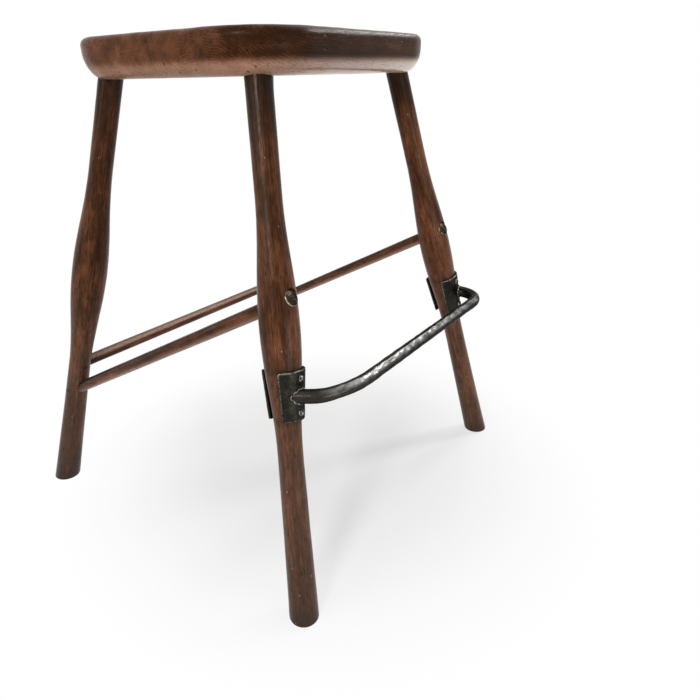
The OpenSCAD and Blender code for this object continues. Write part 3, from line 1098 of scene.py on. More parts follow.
@dataclass
class Stretcher:
    """A round stretcher between two legs, with a band of painted light along one line of its length."""

    name: str
    node: str
    start: Vector
    end: Vector
    number: int
    # Where round the stretcher the band of painted light sits (1 is straight up), its width and strength,
    # and where painted shade along the top begins
    painted_light_at: float = -0.80
    painted_light_run: float = 0.40
    painted_light: float = 0.65
    painted_shade_from: float = 0.3
    dia: float = 18.0
    past: float = 6.0
    around: int = 56
    step: float = 6.0
    dents: Dents = Dents(20, 2.0, 5.0, 0.3)

    def build(self, finish: Material) -> None:
        """Builds the stretcher with the small unevenness of hand work.

        Args:
            finish: The wood's material.
        """
        axis = self.end - self.start
        length, radius = axis.length + 2 * self.past, self.dia / 2
        turn = axis.to_track_quat("Z", "Y").to_matrix().to_4x4()
        matrix = Matrix.Translation(self.start - axis.normalized() * self.past) @ turn
        heights = np.linspace(0, length, int(length / self.step) + 1)
        local = turned([(radius, t) for t in heights], self.around)
        uneven = noise_at(local.reshape(-1, 3) * np.array([1, 1, 0.2]), 16.0, 20 + self.number)
        shrink = np.clip(0.10 + 0.16 * uneven, 0, 0.4).reshape(local.shape[:2])
        local[..., :2] *= (1 - shrink / radius)[..., None]
        mesh = ring_mesh(self.name, placed(matrix, local))
        points = self.dents.press(read_points(mesh) / MM, read_points(mesh, "normal"), 70 + self.number)
        write_points(mesh, points)

        def marks(points: np.ndarray) -> dict[str, np.ndarray]:
            """Darkens the ends, paints shade along the top, and paints a band of light along one line.

            Args:
                points: Points in the stretcher's own frame.

            Returns:
                Tone and pale tint of each point, which carry the painted light and shade.
            """
            edge = np.minimum(points[:, 2], length - points[:, 2])
            up = (points * np.array([1 / radius, 1 / radius, 0])) @ np.array(matrix.to_3x3())[2]
            # The pale band is painted light: floor light under a side stretcher, a highlight near the top of
            # the back one
            rubbed = np.exp(-(((up - self.painted_light_at) / self.painted_light_run) ** 2))
            # Painted shade along the top
            tone = 0.05 - 0.2 * (1 - smoothstep(18, 60, edge)) - 0.28 * smoothstep(self.painted_shade_from, 0.97, up)
            return {"tone": tone + 0.3 * self.painted_light * rubbed, "dust": self.painted_light * rubbed}

        coat(mesh, finish, 40.0)
        grain_stamp(mesh, matrix, (9.0 * self.number, 5.0 * self.number, 190.0 * self.number), marks)
        hand_over(self.name, mesh, Slot.WOOD, self.node)


@dataclass
class SeatSlab:
    """The thick seat, with soft edges, a shallow hollow and four through sockets."""

    plan: StoolPlan
    corner_r: float = 88.0
    lower_h: float = 34.0
    lower_run: float = 24.0
    upper_r: float = 10.0
    hollow_r: float = 140.0
    hollow_depth: float = 6.0
    around: int = 416
    fit: float = 0.15
    dents: Dents = Dents(150, 2.5, 7.5, 0.55)

    def _outline(self, inset: float) -> np.ndarray:
        """Draws the seat's outline in plan.

        Args:
            inset: How far it is moved inwards.

        Returns:
            Array of (points, 2).
        """
        half_w, half_d = self.plan.seat_w / 2 - inset, self.plan.seat_d / 2 - inset
        run_w = 2 * (self.plan.seat_w / 2 - self.corner_r)
        run_d = 2 * (self.plan.seat_d / 2 - self.corner_r)
        r, quarter = self.corner_r - inset, QUARTER_TURN * self.corner_r
        # Start, direction and length of each straight, and the signs of the corner after it
        sides = (
            (half_w, -run_d / 2, 0, 1, run_d, 1, 1),
            (run_w / 2, half_d, -1, 0, run_w, -1, 1),
            (-half_w, run_d / 2, 0, -1, run_d, -1, -1),
            (-run_w / 2, -half_d, 1, 0, run_w, 1, -1),
        )
        points = []
        for rest in np.linspace(0, 2 * (run_w + run_d) + 4 * quarter, self.around, endpoint=False):
            for k, (x, y, over, up, run, cx, cy) in enumerate(sides):
                if rest < run:
                    points.append((x + over * rest, y + up * rest))
                    break
                rest -= run
                if rest < quarter:
                    a = rest / self.corner_r + k * QUARTER_TURN
                    points.append((cx * run_w / 2 + r * math.cos(a), cy * run_d / 2 + r * math.sin(a)))
                    break
                rest -= quarter
        return np.array(points)

    def build(self, finish: Material) -> None:
        """Builds the slab, bores its sockets and stores its boards.

        Args:
            finish: The seat's material.
        """
        plan, matrix = self.plan, self.plan.seat_matrix()
        base, top = self._outline(self.lower_run), self._outline(self.upper_r)
        edge = quarter_round(self.lower_run, self.lower_h, 22)
        edge += [(0.0, z) for z in np.linspace(self.lower_h, plan.seat_t - self.upper_r, 5)[1:]]
        edge += [(z, plan.seat_t - inset) for inset, z in quarter_round(self.upper_r, self.upper_r, 12)[1:]]
        outlines = [(base * share, 0.0) for share in np.linspace(0.03, 0.97, 34)]
        outlines += [(self._outline(inset), z) for inset, z in edge]
        for share in np.linspace(1.0, 0.02, 56)[1:]:
            xy = top * share
            depth = np.clip(1 - (xy**2).sum(1) / self.hollow_r**2, 0, None) ** 2 * self.hollow_depth
            outlines.append((xy, plan.seat_t - depth))
        mesh = ring_mesh("seat_slab", placed(matrix, stacked(outlines)))
        points, normals = read_points(mesh) / MM, read_points(mesh, "normal")
        points -= normals * np.clip(0.18 + 0.3 * noise_at(points, 34.0, 3.0), 0, 0.7)[:, None]
        write_points(mesh, self.dents.press(points, normals, 11))
        mesh = coat(carved(mesh, self._sockets(), 40.0), finish, 40.0)
        # The boards' fibres run from side to side
        board = matrix @ Matrix(((0, 0, 1, 0), (1, 0, 0, 0), (0, 1, 0, 0), (0, 0, 0, 1)))
        grain_stamp(mesh, board, (35.0, -12.0, 420.0), self._marks)
        hand_over("seat_slab", mesh, Slot.WOOD, "seat")

    def _sockets(self) -> Mesh:
        """Builds the four tenon sockets as one cutting shell.

        Returns:
            The shell.
        """
        plan, r = self.plan, self.plan.tenon_dia / 2 + self.fit
        # They start well below the seat and end well above it
        rings = turned([(r, plan.leg_len - 30), (r, plan.leg_len + 100)], TENON_SIDES)
        return joined("sockets", (
            ring_mesh("socket", placed(plan.leg_matrix(side, row), rings)) for side in Side for row in Row
        ))

    def _marks(self, local: np.ndarray) -> dict[str, np.ndarray]:
        """Lightens the top edge, paints a pale reflection of the floor on the lower rounded edge, darkens
        the front face as painted shade, and leaves the underside darker.

        Args:
            local: Points in the board's frame: backwards, up and to the right.

        Returns:
            Tone, pale tint and polish of each point; tone and tint carry painted shade and painted
            reflection.
        """
        height = local[:, 1]
        low = 1 - smoothstep(10, 21, height)
        under = 1 - smoothstep(-0.5, 0.6, height)
        front = smoothstep(-40, 170, local[:, 2]) * (1 - smoothstep(-120, 0, local[:, 0]))
        band = low * (1 - under)
        facing = 1 - smoothstep(-170, -60, local[:, 0])
        # Painted shade darkens the front face, and a painted reflection of the floor lightens the lower
        # rounded edge, most on the front
        tone = 0.14 - 0.26 * facing + 0.05 * smoothstep(44, 50, height) + (0.41 + 0.33 * facing) * band
        polish = facing * band * smoothstep(-230, 0, local[:, 2])
        # The pale tint on the lower rounded edge is a painted reflection of the floor, strongest at the
        # front towards the right
        return {"tone": tone - 0.06 * under, "dust": (0.05 + 0.80 * front) * band, "polish": polish}


@dataclass
class TenonWedges:
    """The sawn wedges that spread the tenons in the seat."""

    plan: StoolPlan
    width: float = 3.2
    depth: float = 32.0
    taper: float = 0.4
    proud: float = 0.1
    fit: float = 0.2
    worn: float = 0.25

    def build(self, finish: Material) -> None:
        """Builds the four wedges as one piece.

        Args:
            finish: The end grain's material.
        """
        mesh = joined("sawn_wedges", (self._wedge(side, row) for side in Side for row in Row))
        coat(mesh, finish, 30.0)
        grain_stamp(mesh, self.plan.seat_matrix(), (80.0, 40.0, 0.0), one_tone(0.12))
        hand_over("sawn_wedges", mesh, Slot.WEDGE, "leg_wedges")

    def _wedge(self, side: Side, row: Row) -> Mesh:
        """Builds a wedge, cut to its tenon's outline.

        Args:
            side: Side of the leg.
            row: Row of the leg.

        Returns:
            The wedge's closed shell.
        """
        r = self.plan.tenon_dia / 2 - self.fit
        outlines = []
        for share in (0.0, 0.5, 0.97, 1.0):
            worn = self.worn if share == 1 else 0
            half = self.width / 2 * (self.taper + (1 - self.taper) * share) - worn
            end = math.sqrt(r**2 - half**2) - worn
            xy = np.array([
                (way * half, y) for way in (1, -1) for y in np.linspace(-way * end, way * end, 9)
            ])
            top, slant = self.plan.seat_top(side, row, xy, self.proud)
            outlines.append((xy, top - self.depth * (1 - share) + slant))
        return ring_mesh("wedge", placed(self.plan.leg_matrix(side, row), stacked(outlines)))


# ---------------------------------------------------------------- fastenings


def axis_points(name: str, places: Sequence[tuple[Vector, Vector]]) -> Object:
    """Makes bare points that carry a direction, for a recipe to fill.

    Args:
        name: Name of the object.
        places: Point, in millimetres, and direction of each piece.

    Returns:
        The object with its points.
    """
    mesh = bpy.data.meshes.new(name)
    mesh.from_pydata([tuple(p * MM) for p, _ in places], [], [])
    store(mesh, "axis", np.array([tuple(a.normalized()) for _, a in places]))
    return new_object(name, mesh)


def line_curve(name: str, line: Sequence[Vector], closed: bool) -> Object:
    """Makes a curve of straight pieces, for a recipe to sweep or fill.

    Args:
        name: Name of the object.
        line: Its points, in millimetres.
        closed: Whether the last point joins the first.

    Returns:
        The curve's object.
    """
    curve = bpy.data.curves.new(name, "CURVE")
    curve.dimensions = "3D"
    spline = curve.splines.new("POLY")
    spline.points.add(len(line) - 1)
    spline.use_cyclic_u = closed
    for point, place in zip(spline.points, line):
        point.co = (*(place * MM), 1.0)
    return new_object(name, curve)


@dataclass
class DowelPegs:
    """Short pegs that cross the back legs and lock the stretchers."""

    plan: StoolPlan
    side_back_h: float = 170.0
    back_h: float = 216.0
    dia: float = 6.0

    def build(self, finish: Material) -> None:
        """Builds the four pegs.

        Args:
            finish: The end grain's material.
        """
        places, reaches = [], []
        for side in Side:
            turn = self.plan.leg_matrix(side, Row.BACK).to_3x3()
            for height, axis in ((self.side_back_h, Vector((1, 0, 0))), (self.back_h, Vector((0, 1, 0)))):
                places.append((self.plan.leg_point(side, Row.BACK, height), turn @ axis))
                reaches.append(2 * float(self.plan.leg_radius(self.plan.up_leg(height))) * MM)
        points = axis_points("crossing_pegs", places)
        store(points.data, "reach", np.array(reaches))
        recipe = GeometryRecipe(
            "crossing_pegs", {"Peg radius": self.dia / 2 * MM, "Sides": 32, "Finish": finish}
        )
        add, size = recipe.add, recipe.size
        reach = add("GeometryNodeInputNamedAttribute", {"Name": "reach"}, data_type="FLOAT")
        peg = add(
            "GeometryNodeMeshCylinder",
            {"Vertices": size("Sides"), "Side Segments": 12, "Fill Segments": 6,
             "Radius": size("Peg radius"), "Depth": 1.0},
            fill_type="TRIANGLE_FAN",
        )
        scale = add("ShaderNodeCombineXYZ", {"X": 1.0, "Y": 1.0, "Z": reach})
        pegs = recipe.filled(Points=size("Geometry"), Instance=peg, Rotation=recipe.aim(), Scale=scale)
        mesh = recipe.run(pegs, points)
        grain_stamp(mesh, Matrix.Identity(4), (0.0, 0.0, 0.0), one_tone(-0.05))
        hand_over("crossing_pegs", mesh, Slot.WEDGE, "stretcher_pegs")


@dataclass
class SlottedScrews:
    """Dark slotted screws in the front legs, one in line with each side stretcher."""

    plan: StoolPlan
    front_h: float = 400.0
    back_h: float = 170.0
    head_dia: float = 22.0
    rim_t: float = 2.6
    dome_h: float = 2.4
    slot_w: float = 1.9
    slot_depth: float = 2.4
    slot_turn: float = 35.0
    sink: float = 3.6
    fit: float = 0.3
    shank: float = 8.0
    shank_r: float = 3.0
    worn: float = 0.22
    around: int = 96
    sharp_deg: float = 38.0

    def _frame(self, side: Side) -> Matrix:
        """Finds a screw's frame.

        Args:
            side: Side of the leg.

        Returns:
            Frame with z outwards along the screw's stretcher.
        """
        start = self.plan.leg_point(side, Row.FRONT, self.front_h)
        axis = (start - self.plan.leg_point(side, Row.BACK, self.back_h)).normalized()
        flat = Matrix.Rotation(math.atan2(axis.y, axis.x), 4, "Z")
        return Matrix.Translation(start) @ flat @ Matrix.Rotation(math.acos(axis.z), 4, "Y")

    @property
    def seat_at(self) -> float:
        """Distance from the leg's middle to the underside of the head."""
        return float(self.plan.leg_radius(self.plan.up_leg(self.front_h))) - self.sink

    def recess(self, side: Side) -> Mesh:
        """Builds the counterbore for a screw's head.

        Args:
            side: Side of the leg.

        Returns:
            The closed shell that cuts it.
        """
        r = self.head_dia / 2 + self.fit
        return ring_mesh(
            "recess", placed(self._frame(side), turned([(r, self.seat_at), (r, self.seat_at + 20.0)], 72))
        )

    def build(self, finish: Material) -> None:
        """Builds both screws, with worn rims and crisp slots.

        Args:
            finish: The steel's material.
        """
        mesh = coat(joined("slotted_screws", (self._head(side) for side in Side)), finish, self.sharp_deg)
        points, rim_r, turn = read_points(mesh) / MM, self.head_dia / 2, math.radians(self.slot_turn)
        wear = np.zeros(len(points))
        for side in Side:
            local = placed(self._frame(side).inverted(), points)
            # The other screw is farther away than this
            near = np.linalg.norm(local, axis=1) < 60
            across = np.hypot(local[:, 0], local[:, 1])
            rim = smoothstep(rim_r - 1.3, rim_r - 0.5, across)
            high = smoothstep(self.seat_at + 0.6, self.seat_at + self.rim_t, local[:, 2])
            off_slot = np.abs(-local[:, 0] * math.sin(turn) + local[:, 1] * math.cos(turn))
            lip = 0.75 * (1 - smoothstep(0.1, 0.6, np.abs(off_slot - self.slot_w / 2)))
            wear = np.where(near, np.maximum(rim, lip * (across < rim_r - 0.4)) * high, wear)
        store(mesh, "wear", np.clip(wear, 0, 1))
        hand_over("slotted_screws", mesh, Slot.SCREW, "stretcher_screws")

    def _head(self, side: Side) -> Mesh:
        """Builds one screw: a turned profile with its slot cut across.

        Args:
            side: Side of the leg.

        Returns:
            The screw's closed shell.
        """
        rim_r, low, place = self.head_dia / 2, self.seat_at, self._frame(side)
        dome_r = (rim_r**2 + self.dome_h**2) / (2 * self.dome_h)
        high = low + self.rim_t
        top = high + self.dome_h
        profile = [
            (self.shank_r, low - self.shank), (self.shank_r, low), (rim_r - 0.4, low),
            (rim_r, low + 0.4), (rim_r, high - 0.5), (rim_r - 0.35, high + 0.05),
        ]
        profile += [
            (r, top - dome_r + math.sqrt(dome_r**2 - r**2)) for r in np.linspace(rim_r - 0.8, 0.4, 26)
        ]
        half, end = self.slot_w / 2, rim_r + 2
        corners = np.array([(-end, -half), (end, -half), (end, half), (-end, half)])
        slot = stacked([(corners, top - self.slot_depth), (corners, top + 3)])
        turn = Matrix.Rotation(math.radians(self.slot_turn), 4, "Z")
        name = f"screw_{side}"
        blank = ring_mesh(name, placed(place, turned(profile, self.around)))
        head = new_object(name, carved(blank, ring_mesh("slot", placed(place @ turn, slot)), self.sharp_deg))
        bevel = head.modifiers.new("worn_edges", "BEVEL")
        bevel.width, bevel.segments, bevel.angle_limit = self.worn * MM, 2, math.radians(50)
        mesh = baked(head, self.sharp_deg)
        # The bevel leaves hair-thin edges, which are merged away
        outwards(mesh, 2e-5)
        return mesh


@dataclass
class PeenedDomes:
    """Bolt heads or nuts: low domes, hammered while hot."""

    name: str
    node: str
    places: Sequence[tuple[Vector, Vector]]
    seed: int
    radius: float = 5.0
    height: float = 4.0
    peen_depth: float = 0.55
    peen_size: float = 3.2

    def build(self, finish: Material) -> None:
        """Fills the places with peened domes.

        Args:
            finish: The iron's material.
        """
        recipe = GeometryRecipe(self.name, {
            "Dome radius": self.radius * MM, "Dome height": self.height * MM,
            "Peen depth": self.peen_depth * MM, "Peen size": self.peen_size * MM,
            "Seed": self.seed, "Finish": finish,
        })
        add, size = recipe.add, recipe.size
        ball = add("GeometryNodeMeshUVSphere", {"Segments": 44, "Rings": 26, "Radius": size("Dome radius")})
        heights = {0: size("Dome height"), 1: size("Dome radius")}
        flatten = add("ShaderNodeMath", heights, operation="DIVIDE")
        squash = add("ShaderNodeCombineXYZ", {"X": 1.0, "Y": 1.0, "Z": flatten})
        dome = add("GeometryNodeTransform", {"Geometry": ball, "Scale": squash})
        bounds = {"Min": 0.94, "Max": 1.0, "Seed": size("Seed")}
        vary = add("FunctionNodeRandomValue", bounds, data_type="FLOAT").outputs["Value"]
        domes = recipe.filled(Points=size("Geometry"), Instance=dome, Rotation=recipe.aim(), Scale=vary)
        fine = add("ShaderNodeMath", {0: 1.0, 1: size("Peen size")}, operation="DIVIDE")
        cells = add(
            "ShaderNodeTexVoronoi", {"Vector": add("GeometryNodeInputPosition"), "Scale": fine},
            feature="SMOOTH_F1",
        )
        depth = add("ShaderNodeMath", {0: cells, 1: size("Peen depth")}, operation="MULTIPLY")
        wear = add("ShaderNodeMapRange", {"Value": cells, "From Min": 0.55, "From Max": 0.2})
        peened = recipe.beaten(domes, depth, wear)
        hand_over(self.name, recipe.run(peened, axis_points(self.name, self.places)), Slot.IRON, self.node)


# ---------------------------------------------------------------- iron plates


@dataclass
class ForgedPlate:
    """A forged plate: a rounded rectangle with soft edges, bent to its place."""

    name: str
    node: str
    width: float
    length: float
    thickness: float
    bend: Bend
    number: int
    corner_r: float = 3.5
    edge_r: float = 1.1
    around: int = 220
    hammer: float = 0.35
    rubbed: float = 0.10

    def _outline(self, inset: float) -> np.ndarray:
        """Draws the plate's flat outline.

        Args:
            inset: How far it is moved inwards.

        Returns:
            Array of (points, 2).
        """
        middle, r = (self.width / 2 - self.corner_r, self.length / 2 - self.corner_r), self.corner_r - inset
        points = []
        for k in range(4):
            a = k * QUARTER_TURN
            mid_x, mid_y = middle if k % 2 == 0 else middle[::-1]
            for s in np.linspace(-1, 1, self.around // 4, endpoint=False):
                # Three fifths of each side's points run straight, the rest round the corner
                if s < 0.2:
                    x, y = mid_x + r, ((s + 1) / 1.2 * 2 - 1) * mid_y
                else:
                    turn = (s - 0.2) / 0.8 * QUARTER_TURN
                    x, y = mid_x + r * math.cos(turn), mid_y + r * math.sin(turn)
                points.append((x * math.cos(a) - y * math.sin(a), x * math.sin(a) + y * math.cos(a)))
        return np.array(points)

    def build(self, finish: Material) -> None:
        """Builds the plate.

        Args:
            finish: The iron's material.
        """
        t, inner = self.thickness, self._outline(self.edge_r)
        shares = np.concatenate([np.linspace(0.04, 0.9, 20), [0.95, 0.985]])
        lower = quarter_round(self.edge_r, self.edge_r, 6)
        outlines = [(inner * share, 0.0) for share in shares]
        edge = lower + [(z, t - inset) for inset, z in lower]
        outlines += [(self._outline(inset), z) for inset, z in edge]
        outlines += [(inner * share, t) for share in shares[::-1]]
        flat = stacked(outlines)
        points = flat.reshape(-1, 3)
        beaten = noise_at(points * np.array([1, 1, 0.2]), 7.0, 50 + self.number, 3)
        ragged = noise_at(points, 9.0, 60 + self.number)
        out = smoothstep(0, t, points[:, 2])
        points[:, 2] -= self.hammer * np.clip(0.4 + 0.8 * beaten, 0, 1.4) * out
        reach = (np.abs(points[:, :2]) / [self.width / 2, self.length / 2]).max(1)
        points[:, :2] *= (1 - 0.012 * np.clip(0.5 + ragged, 0, 1) * smoothstep(0.8, 1, reach))[:, None]
        upper = smoothstep(-self.length / 2, self.length / 2, points[:, 1])
        rim = smoothstep(0.91, 1.0, reach) * smoothstep(0.4 * t, t, points[:, 2])
        wear = np.clip(rim * (0.45 + 0.55 * upper) + self.rubbed * smoothstep(0.1, 0.7, beaten) * out, 0, 1)
        mesh = ring_mesh(self.name, self.bend(points).reshape(flat.shape))
        # The middles of both faces come last and are not worn
        store(mesh, "wear", np.append(wear, [0.0, 0.0]))
        hand_over(self.name, coat(mesh, finish, 60.0), Slot.IRON, self.node)


@dataclass
class LegIrons:
    """The saddle plate, the backing plate and their bolts on each front leg."""

    plan: StoolPlan
    wrap_deg: float = 134.0
    backing_w: float = 22.0
    backing_corner_r: float = 2.0

    def _slope(self) -> float:
        """Finds the rise of the leg's side under the plates.

        Returns:
            Growth of the radius for each millimetre up the leg.
        """
        plan = self.plan
        ends = plan.leg_radius([plan.plate_at + plan.plate_len / 2, plan.plate_at - plan.plate_len / 2])
        return float(ends[0] - ends[1]) / plan.plate_len

    def _saddle_bend(self, side: Side) -> Bend:
        """Makes the function that wraps a flat plate round the front of a leg.

        Args:
            side: Side of the leg.

        Returns:
            The function.
        """
        plan, matrix = self.plan, self.plan.leg_matrix(side, Row.FRONT)

        def bend(points: np.ndarray) -> np.ndarray:
            """Wraps points.

            Args:
                points: x round the leg, y up it and z outwards from the wood.

            Returns:
                The points in the part's frame.
            """
            t = plan.plate_at + points[:, 1]
            angle = points[:, 0] / plan.plate_radius(plan.plate_at) - QUARTER_TURN
            return placed(matrix, polar(plan.leg_radius(t) + plan.plate_fit + points[:, 2], angle, t))

        return bend

    def _backing_bend(self, side: Side) -> Bend:
        """Makes the function that lays a flat plate along the back of a leg.

        Args:
            side: Side of the leg.

        Returns:
            The function.
        """
        plan = self.plan
        start = Vector((0, float(plan.leg_radius(plan.plate_at)) + plan.plate_fit, plan.plate_at))
        lay = plan.leg_matrix(side, Row.FRONT) @ Matrix.Translation(start)
        lay = lay @ Matrix.Rotation(-math.atan(self._slope()), 4, "X")

        def bend(points: np.ndarray) -> np.ndarray:
            """Lays points: x across the leg, y up it, z outwards from the wood."""
            return placed(lay, np.column_stack([-points[:, 0], points[:, 2], points[:, 1]]))

        return bend

    def _bolt_places(self, row: Row) -> list[tuple[Vector, Vector]]:
        """Finds where the bolts' heads or their nuts sit.

        Args:
            row: Front for the heads on the saddle plates, back for the nuts behind.

        Returns:
            Point and outward direction of each.
        """
        plan, places = self.plan, []
        for side in Side:
            matrix = plan.leg_matrix(side, Row.FRONT)
            for step in (-1, 1):
                t = plan.plate_at + step * plan.bolt_offset
                out = plan.plate_radius(plan.plate_at) + (t - plan.plate_at) * self._slope()
                if row is Row.FRONT:
                    out = -plan.plate_radius(t)
                places.append((matrix @ Vector((0, out, t)), matrix.to_3x3() @ Vector((0, row.value, 0))))
        return places

    def build(self, finish: Material, dome_finish: Material) -> None:
        """Builds the plates, the bolts' heads and the nuts.

        Args:
            finish: The plates' material.
            dome_finish: The material of the heads and nuts.
        """
        plan = self.plan
        wrap = math.radians(self.wrap_deg) * plan.plate_radius(plan.plate_at)
        for number, side in enumerate(Side):
            ForgedPlate(
                f"saddle_{side}", f"saddle_plate_{side}", wrap, plan.plate_len, plan.plate_t,
                self._saddle_bend(side), number,
            ).build(finish)
            ForgedPlate(
                f"backing_{side}", f"backing_plate_{side}", self.backing_w, plan.plate_len, plan.plate_t,
                self._backing_bend(side), 5 + number, corner_r=self.backing_corner_r,
            ).build(finish)
        PeenedDomes("bolt_heads", "plate_bolts", self._bolt_places(Row.FRONT), 4).build(dome_finish)
        PeenedDomes("nut_domes", "plate_nuts", self._bolt_places(Row.BACK), 9).build(dome_finish)


# ---------------------------------------------------------------- footrest


@dataclass
class ForgedFootrest:
    """The hammered bar between the front legs, and its welds."""

    plan: StoolPlan
    dia: float = 18.5
    reach: float = 66.0
    left_angle: float = 56.0
    ease_angle: float = 24.0
    ease_r: float = 150.0
    left_straight: float = 11.0
    right_straight: float = 3.5
    right_shift: float = 9.5
    gap: float = 2.0
    left_inside: float = 13.0
    right_inside: float = 7.0
    ring_step: float = 1.1
    sides: int = 64
    hammer_depth: float = 0.62
    hammer_size: float = 9.0
    rubbed_depth: float = 7.0
    smooth_end: float = 60.0
    bead_r: float = 2.3
    ripple: float = 1.9
    bead_rough: float = 0.7

    @property
    def depth(self) -> float:
        """Distance from the straight run back to the plates' outer faces."""
        return self.reach - self.plan.plate_radius(self.plan.plate_at)

    def _bends(self, side: Side) -> list[tuple[float, float]]:
        """Lists the bends of an end, outwards from the straight run.

        Args:
            side: Which end.

        Returns:
            Radius and angle of each.
        """
        if side is Side.RIGHT:
            return [(self.depth - self.right_straight, 90.0)]
        ease, last = math.radians(self.ease_angle), math.radians(self.left_angle)
        r = (self.depth - self.ease_r * (1 - math.cos(ease)) - self.gap * math.sin(ease)
             - self.left_straight * math.sin(last)) / (math.cos(ease) - math.cos(last))
        return [(self.ease_r, self.ease_angle), (r, self.left_angle - self.ease_angle)]

    def _end(self, side: Side, inside: float) -> tuple[list[tuple[float, float]], float]:
        """Walks an end of the bar outwards from the straight run.

        Args:
            side: Which end.
            inside: Length of bar past the plate's face.

        Returns:
            Points (outwards, back), and the final heading.
        """
        x = y = heading = 0.0
        points = [(x, y)]
        for r, angle in self._bends(side):
            turned_to = heading + math.radians(angle)
            points += [
                (x + r * (math.sin(h) - math.sin(heading)), y + r * (math.cos(heading) - math.cos(h)))
                for h in np.linspace(heading, turned_to, max(6, int(angle)))[1:]
            ]
            x, y, heading = *points[-1], turned_to
            x, y = x + self.gap * math.cos(heading), y + self.gap * math.sin(heading)
            points.append((x, y))
        straight = (self.depth - y) / math.sin(heading)
        points += [(x + step * math.cos(heading), y + step * math.sin(heading))
                   for step in np.linspace(0, straight + inside, 12)[1:]]
        return points, heading

    def _to_frame(self, side: Side, points: Sequence[tuple[float, float]]) -> list[Vector]:
        """Moves points of an end into the part's frame.

        Args:
            side: Which end.
            points: Outwards and back from the straight run's end.

        Returns:
            The points, in millimetres.
        """
        leg = self.plan.leg_point(Side.RIGHT, Row.FRONT, self.plan.bar_h)
        shift = self.right_shift if side is Side.RIGHT else 0.0
        run_end = leg.x + shift - self._end(side, 0.0)[0][-1][0]
        return [
            Vector((side.value * (run_end + x), leg.y - self.reach + y, self.plan.bar_h)) for x, y in points
        ]

    def _centre_line(self) -> list[Vector]:
        """Finds the bar's middle from the left leg to the right one.

        Returns:
            Its points, in millimetres.
        """
        left = self._to_frame(Side.LEFT, self._end(Side.LEFT, self.left_inside)[0])
        right = self._to_frame(Side.RIGHT, self._end(Side.RIGHT, self.right_inside)[0])
        run = [left[0].lerp(right[0], s) for s in np.linspace(0, 1, 60)[1:-1]]
        return left[::-1] + run + right

    def build(self, finish: Material, weld_finish: Material) -> None:
        """Builds the bar and both welds.

        Args:
            finish: The bar's material.
            weld_finish: The welds' material.
        """
        self._bar(finish)
        for side in Side:
            self._weld(side, weld_finish)

    def _bar(self, finish: Material) -> None:
        """Sweeps the bar along its middle and hammers it all over but near the plates.

        Args:
            finish: The bar's material.
        """
        recipe = GeometryRecipe("hammered_bar", {
            "Bar radius": self.dia / 2 * MM, "Ring step": self.ring_step * MM, "Sides": self.sides,
            "Hammer depth": self.hammer_depth * MM, "Facet size": self.hammer_size * MM,
            "Rubbed flat": self.rubbed_depth * MM, "Smooth ends": self.smooth_end * MM, "Finish": finish,
        })
        add, size = recipe.add, recipe.size
        path = {"Curve": size("Geometry"), "Length": size("Ring step")}
        even = add("GeometryNodeResampleCurve", path, mode="LENGTH")
        along, whole = add("GeometryNodeSplineParameter").outputs["Length"], add("GeometryNodeSplineLength")
        left_over = add("ShaderNodeMath", {0: whole, 1: along}, operation="SUBTRACT")
        nearest = add("ShaderNodeMath", {0: along, 1: left_over}, operation="MINIMUM")
        marked = add(
            "GeometryNodeStoreNamedAttribute", {"Geometry": even, "Name": "from_end", "Value": nearest},
            data_type="FLOAT", domain="POINT",
        )
        circle = add("GeometryNodeCurvePrimitiveCircle", {
            "Resolution": size("Sides"), "Radius": size("Bar radius"),
        })
        tube = add("GeometryNodeCurveToMesh", {"Curve": marked, "Profile Curve": circle, "Fill Caps": True})
        # Hammer marks lie a little longer along the bar than round it
        stretched = add(
            "ShaderNodeVectorMath", {0: add("GeometryNodeInputPosition"), 1: (0.62, 1.0, 1.0)},
            operation="MULTIPLY",
        )
        fine = add("ShaderNodeMath", {0: 1.0, 1: size("Facet size")}, operation="DIVIDE")
        ripple = add(
            "ShaderNodeTexNoise", {"Vector": stretched, "Scale": fine, "Detail": 0.7, "Roughness": 0.5}
        )
        cells = add(
            "ShaderNodeTexVoronoi", {"Vector": stretched, "Scale": fine, "Smoothness": 0.55},
            feature="SMOOTH_F1",
        )
        facets = add("ShaderNodeMath", {0: cells, 1: 1.1, 2: ripple}, operation="MULTIPLY_ADD")
        from_end = add("GeometryNodeInputNamedAttribute", {"Name": "from_end"}, data_type="FLOAT")
        mask = add(
            "ShaderNodeMapRange",
            {"Value": from_end, "From Min": 0.03, "From Max": size("Smooth ends"), "To Min": 0.10},
            interpolation_type="SMOOTHSTEP",
        )
        press = add("ShaderNodeMath", {0: facets, 1: mask}, operation="MULTIPLY")
        deep = add("ShaderNodeMath", {0: press, 1: size("Hammer depth")}, operation="MULTIPLY")
        # Feet have rubbed a broad flat along the bar's upper front
        square_on = add(
            "ShaderNodeVectorMath", {0: add("GeometryNodeInputNormal"), 1: (0.0, -0.627, 0.779)},
            operation="DOT_PRODUCT",
        ).outputs["Value"]
        over = add("ShaderNodeMath", {0: square_on, 1: 0.925}, operation="SUBTRACT", use_clamp=True)
        flat = add("ShaderNodeMath", {0: over, 1: size("Rubbed flat")}, operation="MULTIPLY")
        flat = add("ShaderNodeMath", {0: flat, 1: mask}, operation="MULTIPLY")
        taken = add("ShaderNodeMath", {0: deep, 1: flat}, operation="ADD")
        # The bright metal goes on hammered high spots and on faces turned square on to the halfway line
        # between the key light and the camera: a painted highlight over wear from feet
        high, trodden_and_painted_highlight = (
            add("ShaderNodeMapRange", {"Value": value, "From Min": dull, "From Max": bare, "To Min": least})
            for value, dull, bare, least in ((facets, 1.25, 0.90, 0.35), (square_on, 0.80, 0.94, 0.12))
        )
